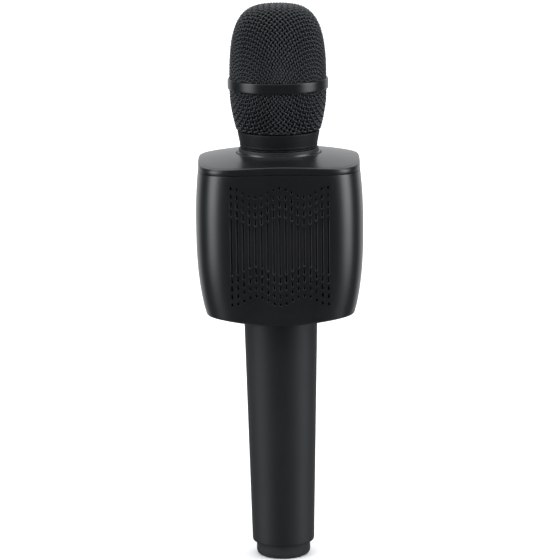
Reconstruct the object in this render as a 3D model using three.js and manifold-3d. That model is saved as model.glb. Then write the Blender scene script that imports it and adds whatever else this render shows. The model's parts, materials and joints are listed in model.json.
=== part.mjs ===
// Karaoke microphone: a hand-held microphone with a square barrel loudspeaker under its head.
// Millimetres, +Z up along the microphone, the loudspeaker grille faces -Y, the controls face +Y.
// The origin is the middle of the end cap's flat underside, on which the microphone stands.
import * as THREE from "three";
import { mergeVertices } from "three/addons/utils/BufferGeometryUtils.js";
import Module from "manifold-3d";

const wasm = await Module();
wasm.setup();

// ---------------------------------------------------------------- driving dimensions
const GAP = 0.35; // clearance between pieces that touch

const BODY = {
  width: 80,
  depth: 72,
  roundness: 3.7, // power of the superellipse in plan
  widestZ: 168,
  topApex: 200, // height of the domed deck on the axis
  topDome: 208, // radius of the deck's dome
  bottomApex: 117.1,
  bottomDome: 117,
  topShrink: 1.5, // how much each side draws in towards the deck
  bottomShrink: 4.2, // how much each side draws in towards the bottom
  wall: 2.2,
  ringPoints: 32,
};
const DECK = {
  thickness: 2.2,
  seamApex: 195, // height on the axis of the dome that the joint under the deck follows
  seamDome: 408, // radius of that dome
  skirtBottom: 190,
  skirtWall: 1.6,
};
const NECK = { seatR: 19.6, seatTop: 201.45, spigotR: 16.4, spigotTop: 207.6, bore: 13.4 };
const BASKET = {
  radius: 23.2,
  middle: 228, // height of the widest place
  top: 270,
  bottom: 210.1,
  bottomR: 20.25,
  roundness: 3.4,
  skirtPower: 1.7,
  wall: 0.9,
};
const BAND = { radius: 24, bottom: 229.75, top: 234.7 };
const COLLAR = { bottom: 202.4, top: 209.75, bottomR: 18.5, topR: 19.7, bore: 16.9 };
const HANDLE = { bottom: 7, bottomR: 15.1, top: 118.7, topR: 17.72, wall: 2.4, flangeR: 20.4 };
const CAP = { radius: 13.1, height: 6.65, spigotR: 12, spigotTop: 16.5 };
const CELL = { radius: 9.2, length: 65.2, bottom: 24 };
const SPEAKER = { z: 158, flangeR: 28.5, flangeY: -24, coneR: 20.8 };
const GRILLE = { columns: 17, pitch: 2.84, slot: 0.95, top: 171, bottom: 148, wave: 2.2 };
const PANEL = { width: 40.2, height: 52.2, corner: 6, z: 158, face: 30.2, thickness: 1.6 };
const BOARD = { y: 20.4, thickness: 1.6 };
const POST = { x: 29, high: 183, low: 133, frontR: 3.4, rearR: 4.3 };
const BUTTONS = [
  { name: "previous", x: 12.5, z: 154, width: 9, height: 7, corner: 1.6 },
  { name: "play", x: 0, z: 154, width: 9, height: 7, corner: 1.6 },
  { name: "next", x: -12.5, z: 154, width: 9, height: 7, corner: 1.6 },
  { name: "mode", x: 7.5, z: 144.5, width: 11, height: 4.6, corner: 2.2 },
  { name: "effect", x: -7.5, z: 144.5, width: 11, height: 4.6, corner: 2.2 },
];
const KNOBS = [
  { name: "volume", x: 10.2, z: 169.5 },
  { name: "echo", x: -10.2, z: 169.5 },
];
const KNOB_R = 6.3;
const USB = { x: -7.5, z: 137.6, width: 9, height: 3.3 };
const AUX = { x: 8.5, z: 137.6, radius: 3, bore: 1.8 };
const SWITCH = { z: 103, plateWidth: 9, plateHeight: 22, travel: 4 };

// ---------------------------------------------------------------- materials
const paint = (color, roughness, metalness = 0) =>
  new THREE.MeshStandardMaterial({ color, roughness, metalness });
const MATERIALS = {
  shell: paint(0x1d2022, 0.42),
  mesh: paint(0x1b1d1f, 0.45, 0.6),
  trim: paint(0x222527, 0.3, 0.5),
  panel: paint(0x101214, 0.2),
  rubber: paint(0x151617, 0.85),
  foam: paint(0x0d0e0f, 1),
  cloth: paint(0x0b0c0d, 1),
  board: paint(0x14432c, 0.5),
  metal: paint(0xa9adb0, 0.35, 0.9),
  ferrite: paint(0x3a3a3c, 0.7, 0.1),
  paper: paint(0x202124, 0.9),
  cell: paint(0x2f6fa8, 0.4),
  white: paint(0xd8dadb, 0.4),
  wire: paint(0x8e1f1c, 0.5),
};

// ---------------------------------------------------------------- solids
// A geometry's closed surface as a manifold-3d solid, turned to face out.
function solid(geometry) {
  const bare = geometry.index ? geometry.toNonIndexed() : geometry.clone();
  bare.deleteAttribute("normal");
  bare.deleteAttribute("uv");
  const merged = mergeVertices(bare, 1e-3);
  const triVerts = new Uint32Array(merged.index.array);
  const vertProperties = merged.attributes.position.array;
  const made = new wasm.Manifold(new wasm.Mesh({ numProp: 3, vertProperties, triVerts }));
  if (made.volume() > 0) return made;
  for (let i = 0; i < triVerts.length; i += 3) {
    [triVerts[i + 1], triVerts[i + 2]] = [triVerts[i + 2], triVerts[i + 1]];
  }
  return new wasm.Manifold(new wasm.Mesh({ numProp: 3, vertProperties, triVerts }));
}

// A manifold-3d solid as a three.js geometry.
function geometryOf(made) {
  const { numProp, numVert, vertProperties, triVerts } = made.getMesh();
  const positions = new Float32Array(numVert * 3);
  for (let i = 0; i < numVert; i++) {
    positions.set(vertProperties.subarray(i * numProp, i * numProp + 3), i * 3);
  }
  const geometry = new THREE.BufferGeometry();
  geometry.setAttribute("position", new THREE.BufferAttribute(positions, 3));
  geometry.setIndex(new THREE.BufferAttribute(triVerts, 1));
  geometry.computeVertexNormals();
  return geometry;
}

const join = (...solids) => solids.reduce((a, b) => a.add(b));
const cut = (from, ...tools) => tools.reduce((a, b) => a.subtract(b), from);

// A solid turned from [radius, height] points about the Z axis.
function turned(points, segments = 20) {
  const profile = points.map(([r, z]) => new THREE.Vector2(r, z));
  if (points[0][0] > 0) profile.push(profile[0].clone());
  return solid(new THREE.LatheGeometry(profile, segments).rotateX(Math.PI / 2));
}

// A solid turned from [radius, y] points about the line along Y through x and z.
function turnedAlongY(points, x, z, segments = 20) {
  const profile = points.map(([r, y]) => new THREE.Vector2(r, y));
  if (points[0][0] > 0) profile.push(profile[0].clone());
  return solid(new THREE.LatheGeometry(profile, segments).translate(x, 0, z));
}

// A cylinder along Y from y0 to y1.
const rodAlongY = (r, y0, y1, x, z, segments = 16) =>
  turnedAlongY([[0, y0], [r, y0], [r, y1], [0, y1]], x, z, segments);

// A box between two corners.
function block([x0, y0, z0], [x1, y1, z1]) {
  const box = new THREE.BoxGeometry(x1 - x0, y1 - y0, z1 - z0);
  return solid(box.translate((x0 + x1) / 2, (y0 + y1) / 2, (z0 + z1) / 2));
}

// A plate with round corners that faces Y, from y0 to y1, centred on x and z.
function plate(width, height, corner, y0, y1, x, z, cornerSteps = 3) {
  const [w, h] = [width / 2, height / 2];
  const shape = new THREE.Shape();
  shape.moveTo(w, -h + corner);
  shape.lineTo(w, h - corner);
  shape.absarc(w - corner, h - corner, corner, 0, Math.PI / 2);
  shape.lineTo(-w + corner, h);
  shape.absarc(-w + corner, h - corner, corner, Math.PI / 2, Math.PI);
  shape.lineTo(-w, -h + corner);
  shape.absarc(-w + corner, -h + corner, corner, Math.PI, 1.5 * Math.PI);
  shape.lineTo(w - corner, -h);
  shape.absarc(w - corner, -h + corner, corner, 1.5 * Math.PI, 2 * Math.PI);
  const options = { depth: y1 - y0, bevelEnabled: false, curveSegments: cornerSteps };
  const made = new THREE.ExtrudeGeometry(shape, options);
  return solid(made.rotateX(Math.PI / 2).translate(x, y1, z));
}

// A round lead along a smooth curve through the given points.
function lead(points, radius, steps) {
  const curve = new THREE.CatmullRomCurve3(points.map((p) => new THREE.Vector3(...p)));
  const section = new THREE.Shape().absarc(0, 0, radius, 0, 2 * Math.PI);
  const options = { steps, extrudePath: curve, curveSegments: 3, bevelEnabled: false };
  return solid(new THREE.ExtrudeGeometry(section, options));
}

// A closed surface through rings of points, with a fan over each end.
function loft(rings) {
  const count = rings[0].length;
  const points = rings.flat();
  const index = [];
  for (let k = 0; k < rings.length - 1; k++) {
    for (let i = 0; i < count; i++) {
      const [a, b] = [k * count + i, k * count + ((i + 1) % count)];
      index.push(a, b, b + count, a, b + count, a + count);
    }
  }
  for (const [k, flip] of [[0, true], [rings.length - 1, false]]) {
    const middle = new THREE.Vector3();
    rings[k].forEach((p) => middle.add(p));
    points.push(middle.divideScalar(count));
    for (let i = 0; i < count; i++) {
      const [a, b] = [k * count + i, k * count + ((i + 1) % count)];
      index.push(...(flip ? [b, a, points.length - 1] : [a, b, points.length - 1]));
    }
  }
  const geometry = new THREE.BufferGeometry().setFromPoints(points);
  return solid(geometry.setIndex(index));
}

// ---------------------------------------------------------------- the barrel's surface
const deckHeight = (x, y) => BODY.topApex - (x * x + y * y) / (2 * BODY.topDome);
const seamHeight = (x, y) => DECK.seamApex - (x * x + y * y) / (2 * DECK.seamDome);
const bottomHeight = (x, y) => BODY.bottomApex + (x * x + y * y) / (2 * BODY.bottomDome);

// How far the sides have drawn in at height z.
function shrinkAt(z) {
  const above = (z - BODY.widestZ) / (BODY.topApex - 3 - BODY.widestZ);
  if (above > 0) return BODY.topShrink * above ** 2;
  const below = (BODY.widestZ - z) / (BODY.widestZ - BODY.bottomApex - 3.7);
  return BODY.bottomShrink * below ** 2.7;
}

// A level ring of the barrel at height z, drawn in by inset and lifted onto a surface.
function barrelRing(z, inset, lift = () => 0) {
  const shrink = shrinkAt(z);
  const a = BODY.width / 2 - shrink - inset;
  const b = (BODY.depth / 2) * (1 - (2 * shrink) / BODY.width) - inset;
  const bent = (v) => Math.sign(v) * Math.abs(v) ** (2 / BODY.roundness);
  return Array.from({ length: BODY.ringPoints }, (_, i) => {
    const angle = (2 * Math.PI * i) / BODY.ringPoints;
    const [x, y] = [a * bent(Math.cos(angle)), b * bent(Math.sin(angle))];
    return new THREE.Vector3(x, y, z + lift(x, y));
  });
}

// The barrel from its domed bottom to the height rimAt gives, drawn in by inset.
function barrel(inset, floorRise, rimAt) {
  const low = 121;
  const high = 196.5;
  const levels = [0, 0.1, 0.25, 0.45, 0.7, 1];
  const rings = levels.map((t) => {
    const z = low + (high - low) * t;
    const top = (x, y) => rimAt(x, y) - high;
    const bottom = (x, y) => bottomHeight(x, y) + floorRise - low;
    return barrelRing(z, inset, (x, y) => t ** 3 * top(x, y) + (1 - t) ** 3 * bottom(x, y));
  });
  const round = barrelRing(low, inset + 1.2, (x, y) => bottomHeight(x, y) + floorRise - low - 0.5);
  const inner = [0.6, 0.25].map((s) => round.map(({ x, y }) =>
    new THREE.Vector3(s * x, s * y, bottomHeight(s * x, s * y) + floorRise)));
  return loft([...inner.reverse(), round, ...rings]);
}

const nodes = [];
function add(name, material, made) {
  const mesh = new THREE.Mesh(geometryOf(made), MATERIALS[material]);
  mesh.name = name;
  nodes.push(mesh);
}

// ---------------------------------------------------------------- microphone head
// Radius of the wire basket at height z.
function basketRadius(z, inset = 0) {
  const up = (z - BASKET.middle) / (BASKET.top - inset - BASKET.middle);
  const down = (BASKET.middle - z) / (BASKET.middle - BASKET.bottom);
  const r = BASKET.radius - inset;
  if (up >= 0) return r * Math.max(0, 1 - up ** BASKET.roundness) ** (1 / BASKET.roundness);
  return r - (BASKET.radius - BASKET.bottomR) * down ** BASKET.skirtPower;
}

// Points of the dome's outline from height z0 up to the axis, closer together near the top.
function domeOutline(z0, inset, count) {
  const top = BASKET.top - inset;
  return Array.from({ length: count + 1 }, (_, i) => {
    const z = z0 + (top - z0) * Math.sin((Math.PI / 2) * (i / count));
    return [i === count ? 0 : basketRadius(z, inset), z];
  });
}

const between = (z0, z1, count, inset) =>
  Array.from({ length: count + 1 }, (_, i) => {
    const z = z0 + ((z1 - z0) * i) / count;
    return [basketRadius(z, inset), z];
  });

function makeHead() {
  const dome = domeOutline(BAND.top + GAP, 0, 7);
  const domeInside = domeOutline(BAND.top + GAP, BASKET.wall, 5).reverse();
  add("grille_dome", "mesh", turned([...dome, ...domeInside].reverse()));
  const skirt = between(BASKET.bottom, BAND.bottom - GAP, 4, 0);
  const skirtInside = between(BASKET.bottom, BAND.bottom - GAP, 3, BASKET.wall).reverse();
  add("grille_skirt", "mesh", turned([...skirt, ...skirtInside]));
  const { radius, bottom, top } = BAND;
  add("grille_band", "trim", turned([
    [radius - 2.2, bottom], [radius - 0.5, bottom], [radius, bottom + 0.6],
    [radius, top - 0.6], [radius - 0.5, top], [radius - 2.2, top],
  ], 32));
  add("grille_collar", "trim", turned([
    [COLLAR.bore, COLLAR.bottom], [COLLAR.bottomR, COLLAR.bottom],
    [COLLAR.topR, COLLAR.top], [COLLAR.bore, COLLAR.top],
  ], 32));
  const foam = domeOutline(212, 2, 5);
  const foamInside = domeOutline(212, 4.8, 5).reverse();
  add("foam_liner", "foam", turned([...foam, ...foamInside].reverse(), 20));
  add("head_washer", "rubber", turned([[16.9, 201.75], [18.1, 201.75], [18.1, 202.15], [16.9, 202.15]]));
}

function makeCapsule() {
  add("capsule_stem", "shell", turned([
    [4.5, 196], [13, 196], [13, 200], [7, 202], [7, 219.5], [10, 220.5], [10, 222], [4.5, 222],
  ], 20));
  add("capsule_cradle", "rubber", turned([
    [6, 222.3], [11.5, 222.3], [13.2, 224], [13.2, 236], [11.45, 236], [11.45, 224.3], [6, 224.3],
  ], 20));
  add("capsule_body", "metal", turned([
    [0, 226.5], [4.5, 226.5], [4.5, 224.7], [10.4, 224.7], [11.1, 225.4],
    [11.1, 243.4], [10.6, 244], [0, 244],
  ], 20));
  add("capsule_cover", "mesh", turned([[0, 244.35], [11.1, 244.35], [11.1, 245.4], [9.5, 246.4], [0, 247]], 20));
}

// ---------------------------------------------------------------- loudspeaker housing
function makeDeck() {
  const over = (drop) => (x, y) => deckHeight(x, y) - drop - 196.5;
  const ring = (inset, drop) => barrelRing(196.5, inset, over(drop));
  const shrunk = (scale) => ring(1.2, 0).map(({ x, y }) =>
    new THREE.Vector3(scale * x, scale * y, deckHeight(scale * x, scale * y)));
  const sunk = ring(1.2, 0).map(({ x, y }) =>
    new THREE.Vector3(x / 2, y / 2, deckHeight(x / 2, y / 2) - DECK.thickness));
  const rim = (inset) => barrelRing(196.5, inset, (x, y) => seamHeight(x, y) + GAP / 2 - 196.5);
  const lid = loft([
    sunk, ring(BODY.wall + 0.4, DECK.thickness), rim(BODY.wall), rim(0),
    ring(0, 0.5), ring(0.15, 0.15), ring(0.5, 0), shrunk(0.6),
  ]);
  const fit = BODY.wall + GAP;
  const level = (inset, z) => barrelRing(196.5, inset, () => z - 196.5);
  const skirt = cut(
    loft([level(fit + 0.4, DECK.skirtBottom), level(fit, 195.5)]),
    loft([level(fit + DECK.skirtWall + 0.4, DECK.skirtBottom - 1), level(fit + DECK.skirtWall, 196)]),
  );
  const neck = turned([
    [0, 196], [NECK.seatR, 196], [NECK.seatR, NECK.seatTop], [NECK.spigotR, NECK.seatTop],
    [NECK.spigotR, NECK.spigotTop], [0, NECK.spigotTop],
  ], 32);
  const bore = turned([[0, 190], [NECK.bore, 190], [NECK.bore, 212], [0, 212]], 32);
  add("top_deck", "shell", cut(join(lid, skirt, neck), bore));
}

// The long middle slots of the loudspeaker grille, whose ends follow a wave.
function grilleSlots() {
  return Array.from({ length: GRILLE.columns }, (_, i) => {
    const x = (i - (GRILLE.columns - 1) / 2) * GRILLE.pitch;
    const wave = GRILLE.wave * Math.cos((Math.PI * i) / 4);
    const half = GRILLE.slot / 2;
    return block([x - half, -40, GRILLE.bottom - wave], [x + half, -20, GRILLE.top + wave]);
  });
}

const postPlaces = [[-1, POST.high], [1, POST.high], [-1, POST.low], [1, POST.low]];
const speakerScrews = [[-27.5, -14], [27.5, -14], [-27.5, 14], [27.5, 14]];

function makeShells() {
  const outer = barrel(0, 0, (x, y) => seamHeight(x, y) - GAP / 2);
  const hollow = barrel(BODY.wall, BODY.wall, (x, y) => deckHeight(x, y) + 4);
  const walls = cut(outer, hollow);
  const handleHole = turned([[0, 110], [HANDLE.topR + GAP, 110], [HANDLE.topR + GAP, 130], [0, 130]], 32);
  const seam = GAP / 2;
  const frontHalf = block([-60, -60, 100], [60, -seam, 220]);
  const rearHalf = block([-60, seam, 100], [60, 60, 220]);

  const frontPosts = postPlaces.map(([side, z]) => rodAlongY(POST.frontR, -40, -seam, side * POST.x, z, 8));
  const speakerPosts = speakerScrews.map(([x, dz]) =>
    rodAlongY(2.4, -40, SPEAKER.flangeY - GAP, x, SPEAKER.z + dz, 8));
  const inside = outer.intersect(join(...frontPosts, ...speakerPosts));
  const pilots = postPlaces.map(([side, z]) => rodAlongY(1.65, -14, 1, side * POST.x, z, 8));
  const speakerPilots = speakerScrews.map(([x, dz]) => rodAlongY(1.15, -27, -20, x, SPEAKER.z + dz, 8));
  add("front_shell", "shell", cut(
    join(walls.intersect(frontHalf), inside),
    handleHole, ...pilots, ...speakerPilots, ...grilleSlots(),
  ));

  const rearPosts = postPlaces.map(([side, z]) => rodAlongY(POST.rearR, seam, 40, side * POST.x, z, 12));
  const bay = plate(PANEL.width + 5, PANEL.height + 5, PANEL.corner + 2.4, 26.6, 40, 0, PANEL.z);
  const stands = [-22, 22].flatMap((dz) => [-19.4, 19.4].map((x) =>
    rodAlongY(1.5, BOARD.y + BOARD.thickness + GAP, 28, x, PANEL.z + dz, 8)));
  const rearInside = outer.intersect(join(...rearPosts, bay));
  const pocketFloor = PANEL.face - PANEL.thickness - GAP;
  const pocket = plate(PANEL.width + 0.7, PANEL.height + 0.7, PANEL.corner + 0.3, pocketFloor, 45, 0, PANEL.z);
  const window = plate(PANEL.width - 3.2, PANEL.height - 3.2, PANEL.corner - 1.5, 20, 45, 0, PANEL.z);
  const screwHoles = postPlaces.map(([side, z]) => rodAlongY(1.65, -1, 40, side * POST.x, z, 8));
  const counterbores = postPlaces.map(([side, z]) => rodAlongY(3.2, 20, 40, side * POST.x, z, 12));
  const boardSlot = block([-26.4, 9 - GAP, 131.6], [26.4, 10.6 + GAP, 184.4]);
  const lowered = cut(join(walls.intersect(rearHalf), rearInside), pocket, window);
  add("rear_shell", "shell", cut(
    join(lowered, ...stands), handleHole, ...screwHoles, ...counterbores, boardSlot,
  ));

  const below = (drop) => (x, y) => deckHeight(x, y) - drop;
  const clothBand = cut(barrel(BODY.wall + 0.3, 3, below(4.5)), barrel(BODY.wall + 0.8, 3, below(3)));
  add("acoustic_cloth", "cloth", clothBand.intersect(block([-24, -40, 127], [24, -15, 189.4])));
}

function makeCaseScrews() {
  postPlaces.forEach(([side, z], i) => {
    add(`case_screw_${i + 1}`, "metal", turnedAlongY([
      [0, -12], [1.25, -11.4], [1.25, 20.35], [2.8, 20.35], [2.8, 21.9], [2.1, 22.6], [0, 22.6],
    ], side * POST.x, z, 8));
  });
}

function makeSpeaker() {
  const { z, flangeR, flangeY, coneR } = SPEAKER;
  const bowl = turnedAlongY([
    [24.5, flangeY], [flangeR, flangeY], [flangeR, flangeY + 1.2], [26.2, flangeY + 1.2],
    [16.5, -9.5], [16.5, -8], [9, -8], [9, -9], [15.2, -9], [24.5, flangeY + 2],
  ], 0, z, 24);
  const ears = speakerScrews.map(([x, dz]) => rodAlongY(3.8, flangeY, flangeY + 1.2, x, z + dz, 10));
  const holes = speakerScrews.map(([x, dz]) => rodAlongY(1.3, flangeY - 1, flangeY + 3, x, z + dz, 8));
  add("speaker_frame", "metal", cut(join(bowl, ...ears), ...holes));
  add("speaker_magnet", "ferrite", turnedAlongY([
    [0, -9], [6.9, -9], [6.9, 0], [10, 0], [10, -5.2], [8.6, -5.2], [8.6, -7.65],
    [15, -7.65], [15, -5.2], [16, -5.2], [16, 2.5], [0, 2.5],
  ], 0, z, 20));
  add("speaker_surround", "rubber", turnedAlongY([
    [coneR + 0.4, -24.5], [coneR + 0.4, -25.1], [22.2, -26.3], [23.2, -26.3], [24.1, -25.1],
    [24.1, -24.3], [22.9, -25.6], [22.3, -25.6],
  ], 0, z, 20));
  add("speaker_cone", "paper", turnedAlongY([
    [0, -18.2], [4.5, -17.4], [8.2, -15.2], [coneR, -25.1], [coneR, -24.4], [8.6, -13.9],
    [7.95, -13.7], [7.95, -3.6], [7.35, -3.6], [7.35, -13.9], [4.2, -16.8], [0, -17.5],
  ], 0, z, 20));
  add("speaker_gasket", "foam", turnedAlongY([[25, -27], [27.4, -27], [27.4, -24.35], [25, -24.35]], 0, z, 24));
  speakerScrews.forEach(([x, dz], i) => {
    add(`speaker_screw_${i + 1}`, "metal", turnedAlongY([
      [0, -26.2], [0.8, -26.2], [0.8, -22.45], [1.9, -22.45], [1.9, -21.2], [0, -21.2],
    ], x, z + dz, 8));
  });
}

// ---------------------------------------------------------------- controls
function makeControls() {
  const { width, height, corner, z, face, thickness } = PANEL;
  const back = face - thickness;
  const openings = [
    ...BUTTONS.map((b) => plate(b.width + 0.7, b.height + 0.7, b.corner + 0.3, 20, 40, b.x, b.z, 2)),
    ...KNOBS.map((k) => rodAlongY(3.25, 20, 40, k.x, k.z, 14)),
    plate(16.7, 2.9, 1.4, 20, 40, 0, 180.5, 2),
    plate(USB.width + 0.7, USB.height + 0.7, 1.9, 20, 40, USB.x, USB.z, 3),
    rodAlongY(AUX.radius + GAP, 20, 40, AUX.x, AUX.z, 14),
  ];
  add("control_panel", "panel", cut(plate(width, height, corner, back, face, 0, z), ...openings));
  add("led_window", "white", plate(16, 2.2, 1.05, back - 0.6, face + 0.1, 0, 180.5, 2));

  const boardFront = BOARD.y + BOARD.thickness;
  const auxHole = rodAlongY(AUX.radius + GAP, 10, 30, AUX.x, AUX.z, 12);
  add("button_board", "board", cut(block([-20.2, BOARD.y, 133.5], [20.2, boardFront, 182.5]), auxHole));

  for (const k of KNOBS) {
    const knob = turnedAlongY([
      [0, 24], [2.9, 24], [2.9, face + GAP], [KNOB_R, face + GAP], [KNOB_R - 0.25, 34.5],
      [KNOB_R - 0.9, 35.2], [0, 35.2],
    ], k.x, k.z, 24);
    const mark = block([k.x - 0.45, 34.7, k.z + 2.2], [k.x + 0.45, 36, k.z + 7]);
    add(`${k.name}_knob`, "trim", cut(knob, mark));
    const pot = block([k.x - 5.5, boardFront + GAP, k.z - 5.5], [k.x + 5.5, 26.2, k.z + 5.5]);
    add(`${k.name}_pot`, "metal", cut(pot, rodAlongY(3.25, 23.6, 30, k.x, k.z, 14)));
  }
  for (const b of BUTTONS) {
    const cap = plate(b.width, b.height, b.corner, 27.6, 31.5, b.x, b.z, 2);
    const flange = plate(b.width + 1.6, b.height + 1.2, b.corner, 27.3, back - GAP, b.x, b.z, 2);
    const stem = rodAlongY(1.5, 24.3, 28, b.x, b.z, 8);
    add(`${b.name}_button`, "rubber", join(cap, flange, stem));
    const half = Math.min(3, b.height / 2 + 0.5);
    const housing = block([b.x - 3, boardFront + GAP, b.z - half], [b.x + 3, 25.6, b.z + half]);
    add(`${b.name}_switch`, "ferrite", cut(housing, rodAlongY(1.95, 23.2, 30, b.x, b.z, 8)));
  }

  const shellOut = plate(USB.width, USB.height, 1.6, boardFront + GAP, face - 0.1, USB.x, USB.z, 4);
  const mouth = plate(USB.width - 0.7, USB.height - 0.7, 1.3, 24, 40, USB.x, USB.z, 4);
  const tongue = block([USB.x - 3.2, 23.5, USB.z - 0.35], [USB.x + 3.2, face - 1, USB.z + 0.35]);
  add("usb_socket", "metal", join(cut(shellOut, mouth), tongue));
  add("aux_socket", "ferrite", turnedAlongY([
    [0, 16.4], [AUX.radius, 16.4], [AUX.radius, face - 0.1], [AUX.bore, face - 0.1], [AUX.bore, 17], [0, 17],
  ], AUX.x, AUX.z, 16));
}

function makeMainBoard() {
  const board = block([-26, 9, 132], [26, 10.6, 184]);
  const chip = block([-8, 10.2, 150], [4, 12, 162]);
  const radio = block([8, 10.2, 142], [20, 12.4, 158]);
  const choke = block([-22, 10.2, 138], [-13, 15, 147]);
  const cans = [[-17, 170], [-6, 172]].map(([x, z]) => rodAlongY(4, 10.2, 18.5, x, z, 12));
  add("main_board", "board", join(board, chip, radio, choke, ...cans));
}

// ---------------------------------------------------------------- handle
const handleRadius = (z) =>
  HANDLE.bottomR + ((HANDLE.topR - HANDLE.bottomR) * (z - HANDLE.bottom)) / (HANDLE.top - HANDLE.bottom);

function makeHandle() {
  const { bottom, bottomR, topR, wall, flangeR } = HANDLE;
  const tube = turned([
    [13.65, bottom], [bottomR - 0.7, bottom], [bottomR, bottom + 0.8], [topR, HANDLE.top],
    [topR, 121.7], [flangeR, 121.7], [flangeR, 124.2], [topR - wall, 124.2],
    [handleRadius(19) - wall, 19], [12.4, 18], [12.4, 9.1], [13.65, 9.1],
  ], 32);
  const half = SWITCH.plateWidth / 2 + GAP;
  const pocket = block(
    [-half, 15.4, SWITCH.z - SWITCH.plateHeight / 2 - GAP],
    [half, 20, SWITCH.z + SWITCH.plateHeight / 2 + GAP],
  );
  const slot = block([-1.5, 10, SWITCH.z - 4.2], [1.5, 20, SWITCH.z + 4.2]);
  add("handle_tube", "shell", cut(tube, pocket, slot));

  const cover = plate(SWITCH.plateWidth, SWITCH.plateHeight, 3.5, 15.7, 16.7, 0, SWITCH.z);
  add("switch_plate", "panel", cut(cover, slot));
  const low = SWITCH.z - SWITCH.travel / 2;
  const thumb = plate(5, 7, 1.4, 17, 18.4, 0, low, 3);
  const ribs = [-1.6, 0, 1.6].map((dz) => block([-2.2, 18, low + dz - 0.35], [2.2, 18.8, low + dz + 0.35]));
  const stem = block([-1.1, 12.6, low - 1.4], [1.1, 17.5, low + 1.4]);
  add("power_slider", "trim", join(thumb, ...ribs, stem));
  const housing = block([-4.5, 7, SWITCH.z - 7.5], [4.5, 13.4, SWITCH.z + 7.5]);
  const track = block([-1.5, 12.2, SWITCH.z - 4.2], [1.5, 14, SWITCH.z + 4.2]);
  add("power_switch", "metal", cut(housing, track));
}

function makePower() {
  const top = CELL.bottom + CELL.length;
  add("battery_carrier", "shell", turned([
    [9.6, 19.5], [11.9, 19.5], [11.9, 93.5], [3, 93.5], [3, 91.2], [9.6, 91.2],
  ], 20));
  add("battery_cell", "cell", turned([
    [0, CELL.bottom], [CELL.radius - 0.5, CELL.bottom], [CELL.radius, CELL.bottom + 0.5],
    [CELL.radius, top - 1], [CELL.radius - 0.6, top - 0.6], [2.8, top - 0.6], [2.8, top + 0.6], [0, top + 0.6],
  ], 20));
  add("battery_contact", "metal", turned([[0, 90.15], [6, 90.15], [6, 90.85], [2.6, 90.85], [2.6, 93.8], [0, 93.8]], 14));
  const turns = 3.5;
  const spring = [];
  for (let i = 0; i <= 28; i++) {
    const angle = (2 * Math.PI * turns * i) / 28;
    const r = 6 - (2 * i) / 28;
    spring.push([r * Math.cos(angle), r * Math.sin(angle), 12.9 + (10.2 * i) / 28]);
  }
  add("contact_spring", "metal", lead(spring, 0.45, 36));
}

function makeEndCap() {
  const { radius, height, spigotR, spigotTop } = CAP;
  add("end_cap", "trim", turned([
    [0, 0], [radius - 1.8, 0], [radius - 0.55, 0.5], [radius, 1.7], [radius, height],
    [spigotR, height], [spigotR, spigotTop], [10, spigotTop], [10, 12], [0, 12],
  ], 32));
  add("cap_gasket", "rubber", turned([[12.35, 7.1], [13.3, 7.1], [13.3, 8.6], [12.35, 8.6]], 20));
}

// ---------------------------------------------------------------- leads
function makeLeads() {
  add("capsule_lead", "wire", lead([
    [0, 0, 226], [0, 0, 212], [0, 1, 198], [2, 6, 190], [5, 12.5, 186.5], [6, 12.4, 178],
  ], 0.9, 16));
  add("speaker_lead", "wire", lead([
    [15.5, -13.5, 173.5], [17, -7, 177], [20, -1, 179], [20.5, 5, 178], [20, 7.6, 173], [20, 7.5, 168],
  ], 0.9, 14));
  add("battery_lead", "wire", lead([
    [0, 0, 94.4], [0, -3, 103], [0, -4, 114], [2, 0, 126], [6, 6, 131], [8, 7.5, 138],
  ], 0.9, 14));
}

makeHead();
makeCapsule();
makeDeck();
makeShells();
makeCaseScrews();
makeSpeaker();
makeControls();
makeMainBoard();
makeHandle();
makePower();
makeEndCap();
makeLeads();

const microphone = new THREE.Group();
microphone.add(...nodes);
export default microphone;
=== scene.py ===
"""Karaoke microphone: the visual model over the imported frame, with its studio."""
from __future__ import annotations

import json
import logging
import math
from dataclasses import dataclass
from enum import Enum
from typing import Any, Callable, Iterable, Sequence

import bmesh
import bpy
from mathutils import Matrix, Vector

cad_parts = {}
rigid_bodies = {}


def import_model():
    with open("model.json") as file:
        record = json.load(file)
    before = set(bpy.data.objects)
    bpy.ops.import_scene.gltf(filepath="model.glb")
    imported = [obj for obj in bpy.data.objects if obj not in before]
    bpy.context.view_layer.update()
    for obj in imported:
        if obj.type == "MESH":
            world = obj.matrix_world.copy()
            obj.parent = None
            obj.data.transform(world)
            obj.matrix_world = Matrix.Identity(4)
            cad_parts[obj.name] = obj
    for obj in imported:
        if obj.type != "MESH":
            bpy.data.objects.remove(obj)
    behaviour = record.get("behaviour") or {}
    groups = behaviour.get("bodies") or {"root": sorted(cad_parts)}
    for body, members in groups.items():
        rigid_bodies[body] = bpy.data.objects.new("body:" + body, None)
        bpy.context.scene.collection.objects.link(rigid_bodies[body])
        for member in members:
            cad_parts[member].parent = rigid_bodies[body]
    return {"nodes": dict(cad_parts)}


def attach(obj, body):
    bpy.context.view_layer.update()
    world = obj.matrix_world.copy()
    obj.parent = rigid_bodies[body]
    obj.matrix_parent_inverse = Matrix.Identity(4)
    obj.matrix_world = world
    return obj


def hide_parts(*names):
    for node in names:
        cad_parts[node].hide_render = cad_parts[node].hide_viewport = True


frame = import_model()

LOG = logging.getLogger("microphone")
MM = 0.001
Ring = list[tuple[float, float, float]]
Pair = tuple[float, float]


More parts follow.
